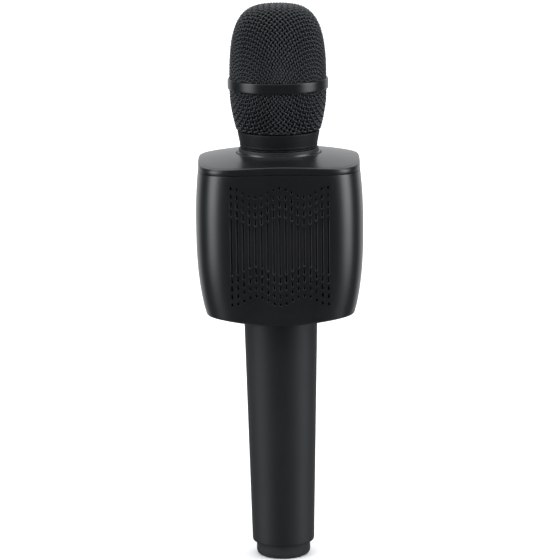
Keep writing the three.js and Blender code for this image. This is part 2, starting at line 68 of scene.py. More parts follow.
# ------------------------------------------------------------------ node graphs
class Socket:
    """A node's output that takes part in arithmetic inside its graph."""

    def __init__(self, graph: "Graph", raw: bpy.types.NodeSocket) -> None:
        """Wrap a socket.

        Args:
            graph: The graph that the socket belongs to.
            raw: The output socket itself.
        """
        self.graph = graph
        self.raw = raw

    def __add__(self, other: Any) -> "Socket":
        """Return this plus other."""
        return self.graph.math("ADD", self, other)

    def __sub__(self, other: Any) -> "Socket":
        """Return this minus other."""
        return self.graph.math("SUBTRACT", self, other)

    def __rsub__(self, other: Any) -> "Socket":
        """Return other minus this."""
        return self.graph.math("SUBTRACT", other, self)

    def __mul__(self, other: Any) -> "Socket":
        """Return this times other."""
        return self.graph.math("MULTIPLY", self, other)

    def __truediv__(self, other: Any) -> "Socket":
        """Return this divided by other."""
        return self.graph.math("DIVIDE", self, other)

    def __rtruediv__(self, other: Any) -> "Socket":
        """Return other divided by this."""
        return self.graph.math("DIVIDE", other, self)

    def __pow__(self, other: Any) -> "Socket":
        """Return this to the power of other."""
        return self.graph.math("POWER", self, other)

    def __gt__(self, other: Any) -> "Socket":
        """Return 1 where this is greater than other, else 0."""
        return self.graph.math("GREATER_THAN", self, other)

    def __lt__(self, other: Any) -> "Socket":
        """Return 1 where this is less than other, else 0."""
        return self.graph.math("LESS_THAN", self, other)

    __radd__ = __add__
    __rmul__ = __mul__


class Graph:
    """A node tree, for a shader or for geometry, with short calls for its nodes."""

    def __init__(self, tree: bpy.types.NodeTree) -> None:
        """Wrap a tree.

        Args:
            tree: The node tree to add nodes to.
        """
        self.tree = tree

    @staticmethod
    def _pick(sockets: Any, key: str | int) -> bpy.types.NodeSocket:
        """Return the socket at an index or of a name, an enabled one first."""
        if isinstance(key, int):
            return sockets[key]
        named = [s for s in sockets if s.name == key]
        return next((s for s in named if s.enabled), named[0])

    def node(self, kind: str, settings: dict | None = None, inputs: dict | None = None) -> bpy.types.Node:
        """Make any node.

        Args:
            kind: The node's type name.
            settings: Values for the node's own properties.
            inputs: Sockets or constants for its inputs, by name or by place.

        Returns:
            The new node.
        """
        made = self.tree.nodes.new(kind)
        for key, value in (settings or {}).items():
            setattr(made, key, value)
        for key, value in (inputs or {}).items():
            socket = self._pick(made.inputs, key)
            if isinstance(value, Socket):
                self.tree.links.new(value.raw, socket)
            elif value is not None:
                socket.default_value = value
        return made

    def call(self, kind: str, settings: dict | None = None, inputs: dict | None = None,
             output: str | int = 0) -> Socket:
        """Make a node and return one of its outputs.

        Args:
            kind: The node's type name.
            settings: Values for the node's own properties.
            inputs: Sockets or constants for its inputs.
            output: The output's name or place.

        Returns:
            The output as a Socket.
        """
        return Socket(self, self._pick(self.node(kind, settings, inputs).outputs, output))

    def math(self, operation: str, *values: Any) -> Socket:
        """Return a Math node's result for the given operation and values."""
        inputs = dict(enumerate(values))
        return self.call("ShaderNodeMath", {"operation": operation}, inputs)

    def vector(self, operation: str, *values: Any) -> Socket:
        """Return a Vector Math node's vector for the given operation and values."""
        inputs = dict(enumerate(values))
        return self.call("ShaderNodeVectorMath", {"operation": operation}, inputs, "Vector")

    def split(self, vector: Socket) -> tuple[Socket, Socket, Socket]:
        """Return the three parts of a vector."""
        made = self.node("ShaderNodeSeparateXYZ", None, {0: vector})
        return tuple(Socket(self, made.outputs[i]) for i in range(3))

    def combine(self, x: Any = 0.0, y: Any = 0.0, z: Any = 0.0) -> Socket:
        """Return a vector made of three parts."""
        return self.call("ShaderNodeCombineXYZ", None, {0: x, 1: y, 2: z})

    def mix(self, factor: Any, a: Any, b: Any) -> Socket:
        """Return a colour between a and b."""
        inputs = {"Factor": factor, "A": a, "B": b}
        return self.call("ShaderNodeMix", {"data_type": "RGBA"}, inputs, "Result")

    def span(self, value: Socket, low: float, high: float, to_low: float, to_high: float) -> Socket:
        """Return value mapped smoothly from one span to another."""
        inputs = {"Value": value, 1: low, 2: high, 3: to_low, 4: to_high}
        return self.call("ShaderNodeMapRange", {"interpolation_type": "SMOOTHSTEP"}, inputs)

    def noise(self, place: Socket, scale: float, detail: float = 3.0) -> Socket:
        """Return fractal noise at a place."""
        return self.call("ShaderNodeTexNoise", None, {"Vector": place, "Scale": scale, "Detail": detail}, "Fac")


# ------------------------------------------------------------------ finishes
def colour(r: float, g: float, b: float) -> tuple[float, float, float, float]:
    """Return an opaque linear colour."""
    return (r, g, b, 1.0)


@dataclass(frozen=True)
class Finish:
    """A surface: one base shader, varied by a pattern that each subclass gives.

    Attributes:
        name: The material's name.
        base: Linear base colour.
        second: Colour that the pattern mixes in.
        rough: Lowest roughness.
        rough_span: How much rougher the pattern makes it.
        metal: Metallic amount.
        grain: Scale of the fine grain, per metre.
        depth: Height of the relief in metres.
        coat: Clear coat weight.
        specular: Specular level.
    """

    name: str
    base: tuple
    second: tuple
    rough: float = 0.4
    rough_span: float = 0.1
    metal: float = 0.0
    grain: float = 2500.0
    depth: float = 2e-5
    coat: float = 0.0
    specular: float = 0.5

    def pattern(self, g: Graph, place: Socket) -> tuple[Socket, Socket]:
        """Return (how much of the second colour, height) at a place, both 0 to 1."""
        patches = g.span(g.noise(place, 38.0), 0.35, 0.7, 0.0, 1.0)
        return patches, g.noise(place, self.grain, 2.0)

    def build(self) -> bpy.types.Material:
        """Return the material, made once and then reused."""
        done = bpy.data.materials.get(self.name)
        if done:
            return done
        material = bpy.data.materials.new(self.name)
        material.use_nodes = True
        tree = material.node_tree
        tree.nodes.clear()
        g = Graph(tree)
        place = g.call("ShaderNodeTexCoord", None, None, "Object")
        amount, height = self.pattern(g, place)
        smudge = g.noise(place, 55.0, 4.0)
        rough = self.rough + self.rough_span * (0.6 * smudge + 0.4 * height)
        bump = g.call("ShaderNodeBump", None, {"Strength": 1.0, "Distance": self.depth, "Height": height})
        shader = g.call("ShaderNodeBsdfPrincipled", None, {
            "Base Color": g.mix(amount, self.base, self.second), "Roughness": rough,
            "Metallic": self.metal, "Coat Weight": self.coat, "Coat Roughness": 0.08,
            "Specular IOR Level": self.specular, "Normal": bump,
        })
        g.node("ShaderNodeOutputMaterial", None, {"Surface": shader})
        return material


@dataclass(frozen=True)
class SparkGrain(Finish):
    """Moulded plastic with a fine even texture and faint flow marks."""

    def pattern(self, g: Graph, place: Socket) -> tuple[Socket, Socket]:
        """Return slight shade patches and a fine grain."""
        flow = g.noise(g.vector("MULTIPLY", place, (1.0, 1.0, 0.35)), 90.0, 5.0)
        grain = 0.7 * g.noise(place, self.grain, 2.0) + 0.3 * g.noise(place, self.grain * 2.3, 1.0)
        return g.span(flow, 0.3, 0.75, 0.0, 1.0), grain


@dataclass(frozen=True)
class TurnedPaint(Finish):
    """Paint or plastic with fine turning rings round the Z axis."""

    def pattern(self, g: Graph, place: Socket) -> tuple[Socket, Socket]:
        """Return rings for the shade and for the relief."""
        rings = g.noise(g.vector("MULTIPLY", place, (0.02, 0.02, 1.0)), self.grain, 3.0)
        return g.span(rings, 0.35, 0.65, 0.0, 1.0), rings


@dataclass(frozen=True)
class FacedDisc(Finish):
    """A knob's face turned about a line along Y, with rings about that line."""

    centre: Pair = (0.0, 0.0)

    def pattern(self, g: Graph, place: Socket) -> tuple[Socket, Socket]:
        """Return rings about the knob's axis."""
        x, _, z = g.split(g.vector("SUBTRACT", place, (self.centre[0] * MM, 0.0, self.centre[1] * MM)))
        radius = g.math("SQRT", x * x + z * z)
        rings = g.noise(g.combine(radius), self.grain, 3.0)
        return g.span(rings, 0.35, 0.65, 0.0, 1.0), rings


@dataclass(frozen=True)
class OpenCells(Finish):
    """Foam or a rough cast surface, made of small open cells."""

    def pattern(self, g: Graph, place: Socket) -> tuple[Socket, Socket]:
        """Return cell walls."""
        cells = g.call("ShaderNodeTexVoronoi", None, {"Vector": place, "Scale": self.grain}, "Distance")
        return g.span(cells, 0.1, 0.6, 1.0, 0.0), cells


@dataclass(frozen=True)
class PlainWeave(Finish):
    """Cloth woven over one and under one in the XZ plane."""

    def pattern(self, g: Graph, place: Socket) -> tuple[Socket, Socket]:
        """Return the threads' crowns."""
        x, _, z = g.split(place)
        across = g.math("SINE", x * self.grain)
        along = g.math("SINE", z * self.grain)
        crowns = g.math("ABSOLUTE", across * along)
        return crowns, crowns


@dataclass(frozen=True)
class CircuitMask(Finish):
    """A board's solder mask over copper tracks and pads in the XZ plane."""

    def pattern(self, g: Graph, place: Socket) -> tuple[Socket, Socket]:
        """Return the tracks under the mask."""
        x, _, z = g.split(place)
        flat = g.combine(x, z)
        cells = g.call("ShaderNodeTexVoronoi", {"distance": "CHEBYCHEV", "feature": "F1"},
                       {"Vector": flat, "Scale": self.grain}, "Distance")
        tracks = g.math("PINGPONG", cells * 3.0, 0.5) > 0.33
        return tracks, tracks


@dataclass(frozen=True)
class Streaks(Finish):
    """Fibres, brushing or wrinkles that run along one direction."""

    stretch: tuple[float, float, float] = (1.0, 1.0, 0.1)

    def pattern(self, g: Graph, place: Socket) -> tuple[Socket, Socket]:
        """Return streaks."""
        lines = g.noise(g.vector("MULTIPLY", place, self.stretch), self.grain, 4.0)
        return g.span(lines, 0.35, 0.7, 0.0, 1.0), lines


SHELL = SparkGrain("shell_plastic", colour(0.0046, 0.0056, 0.0063), colour(0.0058, 0.0069, 0.0078),
                   0.27, 0.08, grain=3600.0, depth=6e-6)
GRIP = SparkGrain("grip_plastic", colour(0.0052, 0.0063, 0.0071), colour(0.0065, 0.0078, 0.0088),
                  0.54, 0.08, grain=3600.0, depth=8e-6, specular=0.4)
WIRE = SparkGrain("painted_wire", colour(0.0170, 0.0198, 0.0225), colour(0.0234, 0.0271, 0.0308),
                  0.34, 0.12, 0.35, grain=5200.0, depth=6e-6)
BAND = TurnedPaint("band_paint", colour(0.0095, 0.0108, 0.0124), colour(0.0116, 0.0132, 0.0150),
                   0.24, 0.08, 0.45, grain=9000.0, depth=3e-6)
COLLAR = TurnedPaint("collar_paint", colour(0.0056, 0.0067, 0.0076), colour(0.0070, 0.0083, 0.0092),
                     0.52, 0.10, grain=7000.0, depth=4e-6, specular=0.22)
CAP = TurnedPaint("cap_plastic", colour(0.0178, 0.0196, 0.0210), colour(0.0212, 0.0232, 0.0248),
                  0.62, 0.10, grain=7000.0, depth=4e-6, specular=0.2)
PANEL = SparkGrain("panel_gloss", colour(0.0060, 0.0064, 0.0070), colour(0.0074, 0.0078, 0.0086),
                   0.10, 0.07, grain=900.0, depth=1e-6, coat=0.6)
KEYS = SparkGrain("key_rubber", colour(0.017, 0.0175, 0.0185), colour(0.022, 0.0225, 0.0235),
                  0.62, 0.15, grain=4200.0, depth=2e-5)
RUBBER = SparkGrain("seal_rubber", colour(0.010, 0.010, 0.0105), colour(0.014, 0.014, 0.0145),
                    0.7, 0.15, grain=3000.0, depth=2e-5)
FOAM = OpenCells("liner_foam", colour(0.0180, 0.0186, 0.0196), colour(0.0300, 0.0310, 0.0325),
                 0.92, 0.06, grain=1500.0, depth=2.5e-4, specular=0.1)
CLOTH = PlainWeave("speaker_cloth", colour(0.0240, 0.0247, 0.0260), colour(0.0430, 0.0442, 0.0465),
                   0.9, 0.05, grain=7500.0, depth=8e-5, specular=0.15)
BOARD = CircuitMask("board_mask", colour(0.008, 0.070, 0.030), colour(0.020, 0.125, 0.050),
                    0.28, 0.1, grain=260.0, depth=3e-5)
COMPONENT = SparkGrain("component_plastic", colour(0.012, 0.012, 0.013), colour(0.018, 0.018, 0.019),
                       0.5, 0.12, grain=3200.0)
STEEL = Streaks("plated_steel", colour(0.50, 0.50, 0.49), colour(0.60, 0.60, 0.59),
                0.24, 0.14, 1.0, grain=2600.0, depth=4e-6)
CAN = Streaks("capsule_can", colour(0.55, 0.56, 0.57), colour(0.66, 0.67, 0.68),
              0.28, 0.12, 1.0, grain=3000.0, depth=5e-6, stretch=(1.0, 1.0, 0.05))
FERRITE = OpenCells("magnet_ferrite", colour(0.028, 0.028, 0.029), colour(0.045, 0.044, 0.043),
                    0.6, 0.15, 0.1, grain=2400.0, depth=4e-5)
PAPER = Streaks("cone_paper", colour(0.014, 0.014, 0.0145), colour(0.026, 0.026, 0.026),
                0.85, 0.08, grain=1800.0, depth=5e-5, stretch=(0.4, 1.0, 1.0))
SLEEVE = Streaks("cell_sleeve", colour(0.020, 0.11, 0.30), colour(0.030, 0.15, 0.38),
                 0.25, 0.12, grain=500.0, depth=4e-5, stretch=(1.0, 1.0, 0.2))
LENS = SparkGrain("lamp_lens", colour(0.60, 0.62, 0.63), colour(0.70, 0.71, 0.72),
                  0.2, 0.08, grain=1800.0, depth=4e-6)
MARK = SparkGrain("mark_ink", colour(0.52, 0.53, 0.54), colour(0.62, 0.63, 0.64),
                  0.45, 0.1, grain=4000.0, depth=5e-6)
INSULATION = Streaks("lead_insulation", colour(0.24, 0.010, 0.008), colour(0.32, 0.016, 0.012),
                     0.4, 0.1, grain=2000.0, depth=1e-5)


# ------------------------------------------------------------------ mesh making
def polished(obj: bpy.types.Object, angle: float = 32.0) -> bpy.types.Object:
    """Merge doubles, face outwards and shade smooth up to an angle.

    Args:
        obj: The mesh object to finish.
        angle: Edges sharper than this many degrees stay sharp.

    Returns:
        The same object.
    """
    bm = bmesh.new()
    bm.from_mesh(obj.data)
    bmesh.ops.remove_doubles(bm, verts=bm.verts, dist=2e-6)
    bmesh.ops.dissolve_degenerate(bm, edges=bm.edges, dist=1e-6)
    bmesh.ops.recalc_face_normals(bm, faces=bm.faces)
    for face in bm.faces:
        face.smooth = True
    for edge in bm.edges:
        edge.smooth = len(edge.link_faces) == 2 and edge.calc_face_angle(0.0) < math.radians(angle)
    bm.to_mesh(obj.data)
    bm.free()
    return obj


def solid(name: str, points: Iterable, faces: Iterable, finish: Finish | None = None,
          angle: float = 32.0) -> bpy.types.Object:
    """Make an object from points in millimetres.

    Args:
        name: The object's name.
        points: Corner points.
        faces: Tuples of point numbers.
        finish: The surface, or None for a tool that is removed later.
        angle: Edges sharper than this many degrees stay sharp.

    Returns:
        The new object.
    """
    mesh = bpy.data.meshes.new(name)
    mesh.from_pydata([Vector(p) * MM for p in points], [], [tuple(f) for f in faces])
    obj = bpy.data.objects.new(name, mesh)
    bpy.context.scene.collection.objects.link(obj)
    if finish:
        mesh.materials.append(finish.build())
    return polished(obj, angle)


def loft(rings: Sequence[Ring], closed: bool = True, loop: bool = False) -> tuple[list, list]:
    """Join rings of points with faces.

    Args:
        rings: Rings with equal numbers of points.
        closed: Whether each ring closes on itself.
        loop: Whether the last ring joins the first.

    Returns:
        (points, faces), closed with end faces where the rings or the row leave an opening.
    """
    count, rows = len(rings[0]), len(rings)
    faces: list[tuple] = []
    for k in range(rows if loop else rows - 1):
        low, high = k * count, ((k + 1) % rows) * count
        for i in range(count if closed else count - 1):
            j = (i + 1) % count
            faces.append((low + i, low + j, high + j, high + i))
    if closed and not loop:
        faces += [tuple(range(count)), tuple(range((rows - 1) * count, rows * count))]
    if loop and not closed:
        faces += [tuple(k * count for k in range(rows)), tuple(k * count + count - 1 for k in range(rows))]
    return [p for ring in rings for p in ring], faces


def rounded(outline: Sequence[tuple[float, float, float]], closed: bool = True, steps: int = 5) -> list[Pair]:
    """Round an outline's corners.

    Args:
        outline: (first, second, tangent length) of each corner.
        closed: Whether the outline closes on itself.
        steps: Points along each round.

    Returns:
        The rounded outline's points.
    """
    points: list[Pair] = []
    last = len(outline) - 1
    for i, (a, b, reach) in enumerate(outline):
        if reach <= 0 or (not closed and i in (0, last)):
            points.append((a, b))
            continue
        corner = Vector((a, b))
        before = Vector(outline[i - 1][:2]) - corner
        after = Vector(outline[(i + 1) % len(outline)][:2]) - corner
        start = corner + before.normalized() * min(reach, before.length * 0.48)
        end = corner + after.normalized() * min(reach, after.length * 0.48)
        for k in range(steps + 1):
            t = k / steps
            p = start * (1 - t) ** 2 + corner * (2 * t * (1 - t)) + end * t ** 2
            points.append((p.x, p.y))
    return points


def turned(name: str, outline: Sequence[tuple], finish: Finish | None, segments: int = 96,
           axis: tuple[float, float] | None = None, steps: int = 5) -> bpy.types.Object:
    """Turn an outline of (radius, height, rounding) about Z, or about a line along Y.

    Args:
        name: The object's name.
        outline: It closes on itself, or starts and ends on the axis.
        finish: The surface.
        segments: Steps round the turn.
        axis: (x, z) of a turning line along Y, or None for the Z axis.
        steps: Points along each rounded corner.

    Returns:
        The new object.
    """
    closed = outline[0][0] > 0
    profile = rounded(outline, closed, steps)
    rings: list[Ring] = []
    for r, h in profile:
        ring: Ring = []
        for i in range(segments):
            angle = 2 * math.pi * i / segments
            u, v = r * math.cos(angle), r * math.sin(angle)
            ring.append((u, v, h) if axis is None else (axis[0] + u, h, axis[1] + v))
        rings.append(ring)
    points, faces = loft(rings, True, closed)
    if not closed:
        faces = faces[:-2]
    return solid(name, points, faces, finish)


def slab(name: str, size: tuple[float, float, float], layers: Sequence[Pair], centre: Pair,
         finish: Finish | None, steps: int = 8, crown: float = 0.0) -> bpy.types.Object:
    """Make a plate with round corners that faces +Y.

    Args:
        name: The object's name.
        size: (width, height, corner radius).
        layers: (how far the outline is drawn in, y) from back to front.
        centre: (x, z) of the middle.
        finish: The surface.
        steps: Points round each corner.
        crown: How far the front face bulges in its middle.

    Returns:
        The new object.
    """
    width, height, corner = size
    rings: list[Ring] = []
    for inset, y in layers:
        w, h = width / 2 - inset, height / 2 - inset
        c = max(min(corner - inset, w, h), 0.05)
        ring: Ring = []
        for quarter, (sx, sz) in enumerate(((1, 1), (-1, 1), (-1, -1), (1, -1))):
            for k in range(steps + 1):
                angle = math.pi / 2 * (quarter + k / steps)
                ring.append((centre[0] + sx * (w - c) + c * math.cos(angle), y,
                             centre[1] + sz * (h - c) + c * math.sin(angle)))
        rings.append(ring)
    last = rings[-1]
    for shrink in (0.75, 0.45, 0.15) if crown else ():
        rise = crown * (1 - shrink ** 2)
        rings.append([(centre[0] + (x - centre[0]) * shrink, y + rise, centre[1] + (z - centre[1]) * shrink)
                      for x, y, z in last])
    return solid(name, *loft(rings), finish)


def soft_edge(back: float, front: float, edge: float) -> list[Pair]:
    """Return slab layers from back to front with a rounded front edge, and a small one behind."""
    layers = [(edge * 0.4, back), (0.0, back + edge * 0.4)]
    for k in range(6):
        angle = math.pi / 2 * k / 5
        layers.append((edge * (1 - math.cos(angle)), front - edge * (1 - math.sin(angle))))
    return layers


def rod(name: str, radius: float, ends: Pair, axis: Pair, sides: int, finish: Finish | None = None) -> bpy.types.Object:
    """Make a plain rod along Y.

    Args:
        name: The object's name.
        radius: Its radius.
        ends: (y of its back end, y of its front end).
        axis: (x, z) of its axis.
        sides: How many sides it has.
        finish: The surface, or None for a cutting tool.

    Returns:
        The new object.
    """
    back, front = ends
    return turned(name, [(0, back, 0), (radius, back, 0), (radius, front, 0), (0, front, 0)], finish, sides, axis=axis)


def baked(obj: bpy.types.Object) -> bpy.types.Object:
    """Apply an object's modifiers into a plain mesh."""
    graph = bpy.context.evaluated_depsgraph_get()
    mesh = bpy.data.meshes.new_from_object(obj.evaluated_get(graph), preserve_all_data_layers=True,
                                           depsgraph=graph)
    obj.modifiers.clear()
    obj.data = mesh
    return obj


def remove(obj: bpy.types.Object) -> None:
    """Delete a helper object."""
    bpy.data.objects.remove(obj, do_unlink=True)


class Carve(Enum):
    """What a boolean does with its tool."""

    AWAY = "DIFFERENCE"
    ADD = "UNION"


def carved(obj: bpy.types.Object, tools: Sequence[bpy.types.Object], how: Carve = Carve.AWAY,
           angle: float = 32.0) -> bpy.types.Object:
    """Cut tools away or add them, one after another, and remove them.

    Args:
        obj: The object to change.
        tools: Closed objects.
        how: What each tool does.
        angle: Edges sharper than this many degrees stay sharp.

    Returns:
        The changed object.
    """
    for tool in tools:
        modifier = obj.modifiers.new("carve", "BOOLEAN")
        modifier.operation = how.value
        modifier.solver = "EXACT"
        modifier.object = tool
    materials = list(obj.data.materials)
    baked(obj)
    obj.data.materials.clear()
    for material in materials:
        obj.data.materials.append(material)
    obj.data.polygons.foreach_set("material_index", [0] * len(obj.data.polygons))
    for tool in tools:
        remove(tool)
    return polished(obj, angle)


def joined(name: str, parts: Sequence[bpy.types.Object]) -> bpy.types.Object:
    """Join objects into one mesh, each keeping its materials."""
    bm = bmesh.new()
    mesh = bpy.data.meshes.new(name)
    for part in parts:
        start = len(mesh.materials)
        for material in part.data.materials:
            mesh.materials.append(material)
        known = len(bm.faces)
        bm.from_mesh(part.data)
        bm.faces.ensure_lookup_table()
        for face in bm.faces[known:]:
            face.material_index += start
    bm.to_mesh(mesh)
    bm.free()
    for part in parts:
        remove(part)
    obj = bpy.data.objects.new(name, mesh)
    bpy.context.scene.collection.objects.link(obj)
    return obj


# ------------------------------------------------------------------ geometry nodes
class Input(Enum):
    """Socket types for a geometry tree's named inputs."""

    FLOAT = "NodeSocketFloat"
    INT = "NodeSocketInt"
    OBJECT = "NodeSocketObject"
    MATERIAL = "NodeSocketMaterial"


class GeometryRecipe:
    """A geometry node tree with named inputs, run once on an empty mesh."""

    title = "recipe"
    inputs: dict[str, Input] = {}

    def __init__(self) -> None:
        """Build the tree."""
        self.tree = bpy.data.node_groups.new(self.title, "GeometryNodeTree")
        self.tree.is_modifier = True
        face = self.tree.interface
        face.new_socket("Geometry", in_out="OUTPUT", socket_type="NodeSocketGeometry")
        self.ids = {n: face.new_socket(n, in_out="INPUT", socket_type=k.value).identifier
                    for n, k in {**self.inputs, "Material": Input.MATERIAL}.items()}
        self.g = Graph(self.tree)
        self.entry = self.g.node("NodeGroupInput")
        made = self.body()
        whole = self.g.call("GeometryNodeRealizeInstances", None, {0: made})
        smooth = self.g.call("GeometryNodeSetShadeSmooth", None, {0: whole})
        painted = self.g.call("GeometryNodeSetMaterial", None, {"Geometry": smooth, "Material": self.given("Material")})
        self.g.node("NodeGroupOutput", None, {0: painted})

    def given(self, name: str) -> Socket:
        """Return the tree's input of that name."""
        return Socket(self.g, self.entry.outputs[name])

    def body(self) -> Socket:
        """Return the geometry; each recipe gives its own."""
        raise NotImplementedError

    def run(self, name: str, values: dict[str, Any], finish: Finish) -> bpy.types.Object:
        """Make a plain mesh object from the tree.

        Args:
            name: The object's name.
            values: A value for each named input.
            finish: The surface.

        Returns:
            The object, with its modifier applied and removed.
        """
        obj = bpy.data.objects.new(name, bpy.data.meshes.new(name))
        bpy.context.scene.collection.objects.link(obj)
        modifier = obj.modifiers.new(self.title, "NODES")
        modifier.node_group = self.tree
        for key, value in {**values, "Material": finish.build()}.items():
            modifier[self.ids[key]] = value
        obj.update_tag()
        return baked(obj)


class WovenWire(GeometryRecipe):
    """One family of wires of a flat plain weave, laid over a turned form.

    The flat weave's middle lies on the form's axis. A point at a given distance from the middle
    lands at that arc length along the form's outline, at the same bearing.
    """

    title = "woven_wire"
    inputs = {"Outline": Input.OBJECT, "Pitch": Input.FLOAT, "Inner": Input.FLOAT, "Outer": Input.FLOAT,
              "Start": Input.FLOAT, "Wire Radius": Input.FLOAT, "Side": Input.FLOAT, "Weft": Input.FLOAT,
              "Turn": Input.FLOAT, "Samples": Input.INT}

    def body(self) -> Socket:
        """Return the wires as tubes."""
        g, given = self.g, self.given
        pitch, outer = given("Pitch"), given("Outer")
        step = pitch / given("Samples")
        half = g.math("FLOOR", outer / pitch)
        reach = g.math("CEIL", outer / step)
        start = g.combine(half * pitch * -1.0)
        places = g.call("GeometryNodeMeshLine", None,
                        {"Count": 2.0 * half + 1.0, "Start Location": start, "Offset": g.combine(pitch)})
        wire = g.call("GeometryNodeMeshLine", None,
                      {"Count": 2.0 * reach + 1.0, "Start Location": g.combine(0.0, reach * step * -1.0),
                       "Offset": g.combine(0.0, step)})
        net = g.call("GeometryNodeInstanceOnPoints", None, {"Points": places, "Instance": wire})
        net = g.call("GeometryNodeRealizeInstances", None, {0: net})
        u, v, _ = g.split(g.call("GeometryNodeInputPosition"))
        away = g.math("SQRT", u * u + v * v)
        unwanted = g.math("MAXIMUM", away > outer, away < given("Inner"))
        net = g.call("GeometryNodeDeleteGeometry", {"domain": "POINT"}, {"Geometry": net, "Selection": unwanted})
        outline = g.call("GeometryNodeObjectInfo", None, {"Object": given("Outline")}, "Geometry")
        sample = g.node("GeometryNodeSampleCurve", {"mode": "LENGTH", "data_type": "FLOAT", "use_all_curves": True},
                        {"Curves": outline, "Length": away - given("Start")})
        x, _, z = g.split(Socket(g, sample.outputs["Position"]))
        tx, _, tz = g.split(Socket(g, sample.outputs["Tangent"]))
        radius = given("Wire Radius")
        weft = given("Weft")
        wave = g.math("COSINE", (u + v) * math.pi / pitch) * (1.0 - 2.0 * weft)
        lift = (wave * 0.92 - 1.92) * radius * given("Side")
        r = x - tz * lift
        h = z + tx * lift
        bearing = g.math("ARCTAN2", v, u)
        bearing = bearing * (1.0 - weft) + g.math("ARCTAN2", u, v) * weft + given("Turn")
        place = g.combine(r * g.math("COSINE", bearing), r * g.math("SINE", bearing), h)
        net = g.call("GeometryNodeSetPosition", None, {"Geometry": net, "Position": place})
        lines = g.call("GeometryNodeMeshToCurve", None, {"Mesh": net})
        section = g.call("GeometryNodeCurvePrimitiveCircle", None, {"Resolution": 5, "Radius": radius})
        return g.call("GeometryNodeCurveToMesh", None, {"Curve": lines, "Profile Curve": section, "Fill Caps": True})


class SlotTools(GeometryRecipe):
    """Cutting tools for a loudspeaker grille of long slots with rows of dashes at both ends."""

    title = "slot_tools"
    inputs = {"Tool": Input.OBJECT, "Columns": Input.INT, "Pitch": Input.FLOAT, "Top": Input.FLOAT,
              "Bottom": Input.FLOAT, "Wave": Input.FLOAT, "Dash Pitch": Input.FLOAT, "Rows": Input.INT,
              "Slot": Input.FLOAT, "Half Width": Input.FLOAT, "Half Depth": Input.FLOAT, "Power": Input.FLOAT,
              "Widest": Input.FLOAT, "Top Rate": Input.FLOAT, "Bottom Rate": Input.FLOAT}

    def body(self) -> Socket:
        """Return the tools, each following the barrel's surface."""
        g, given = self.g, self.given
        columns, rows, pitch = given("Columns"), given("Rows"), given("Pitch")
        levels = 2.0 * rows + 1.0
        points = g.call("GeometryNodeMeshLine", None, {"Count": columns * levels})
        index = g.call("GeometryNodeInputIndex")
        column = g.math("FLOOR", (index + 0.5) / levels)
        level = index - column * levels - rows
        middle = (columns - 1.0) / 2.0
        wave = g.math("COSINE", (column - middle) * (math.pi / 4.0)) * given("Wave")
        top, bottom = given("Top") + wave, given("Bottom") - wave
        slot, dash = given("Slot"), given("Dash Pitch")
        away = g.math("ABSOLUTE", level)
        is_dash = away > 0.5
        up = level > 0.0
        length = (dash - slot) * (1.0 - 0.17 * (away - 1.0))
        shift = dash * (away - 0.5) + slot * 0.5
        dash_z = up * (top + shift) + (1.0 - up) * (bottom - shift)
        z = is_dash * dash_z + (1.0 - is_dash) * (top + bottom) * 0.5
        half = g.math("MAXIMUM", 0.5 * (is_dash * length + (1.0 - is_dash) * (top - bottom)) - slot * 0.5, 0.00005)
        for name, value in (("slot_x", (column - middle) * pitch), ("slot_z", z), ("slot_half", half)):
            points = g.call("GeometryNodeStoreNamedAttribute", {"data_type": "FLOAT", "domain": "POINT"},
                            {"Geometry": points, "Name": name, "Value": value})
        tool = g.call("GeometryNodeObjectInfo", None, {"Object": given("Tool")}, "Geometry")
        cuts = g.call("GeometryNodeInstanceOnPoints", None, {"Points": points, "Instance": tool})
        cuts = g.call("GeometryNodeRealizeInstances", None, {0: cuts})
        named = {n: g.call("GeometryNodeInputNamedAttribute", {"data_type": "FLOAT"}, {"Name": n}, "Attribute")
                 for n in ("slot_x", "slot_z", "slot_half", "along", "side", "cap", "deep")}
        px = named["slot_x"] + named["side"]
        pz = named["slot_z"] + named["along"] * named["slot_half"] + named["cap"]
        above = g.math("MAXIMUM", pz - given("Widest"), 0.0)
        below = g.math("MAXIMUM", given("Widest") - pz, 0.0)
        shrink = given("Top Rate") * above ** 2.0 + given("Bottom Rate") * below ** 2.7
        wide = given("Half Width") - shrink
        deep = given("Half Depth") * (1.0 - shrink / given("Half Width"))
        power = given("Power")
        bend = (1.0 - (g.math("ABSOLUTE", px) / wide) ** power) ** (1.0 / power)
        place = g.combine(px, named["deep"] - deep * bend, pz)
        return g.call("GeometryNodeSetPosition", None, {"Geometry": cuts, "Position": place})


class RibRing(GeometryRecipe):
    """Small ribs set round a knob whose axis lies along Y."""

    title = "rib_ring"
    inputs = {"Count": Input.INT, "Radius": Input.FLOAT, "X": Input.FLOAT, "Z": Input.FLOAT,
              "Back": Input.FLOAT, "Front": Input.FLOAT, "Rib Radius": Input.FLOAT}

    def body(self) -> Socket:
        """Return the ribs."""
        g, given = self.g, self.given
        front, back, radius = given("Front"), given("Back"), given("Radius")
        rib = g.call("GeometryNodeCurvePrimitiveLine", None,
                     {"Start": g.combine(0.0, back, 0.0), "End": g.combine(0.0, front, 0.0)})
        section = g.call("GeometryNodeCurvePrimitiveCircle", None, {"Resolution": 8, "Radius": given("Rib Radius")})
        rib = g.call("GeometryNodeCurveToMesh", None, {"Curve": rib, "Profile Curve": section, "Fill Caps": True})
        places = g.call("GeometryNodeMeshLine", None, {"Count": given("Count")})
        angle = g.call("GeometryNodeInputIndex") * (2.0 * math.pi) / given("Count")
        spot = g.combine(given("X") + radius * g.math("COSINE", angle), 0.0,
                         given("Z") + radius * g.math("SINE", angle))
        places = g.call("GeometryNodeSetPosition", None, {"Geometry": places, "Position": spot})
        return g.call("GeometryNodeInstanceOnPoints", None, {"Points": places, "Instance": rib})


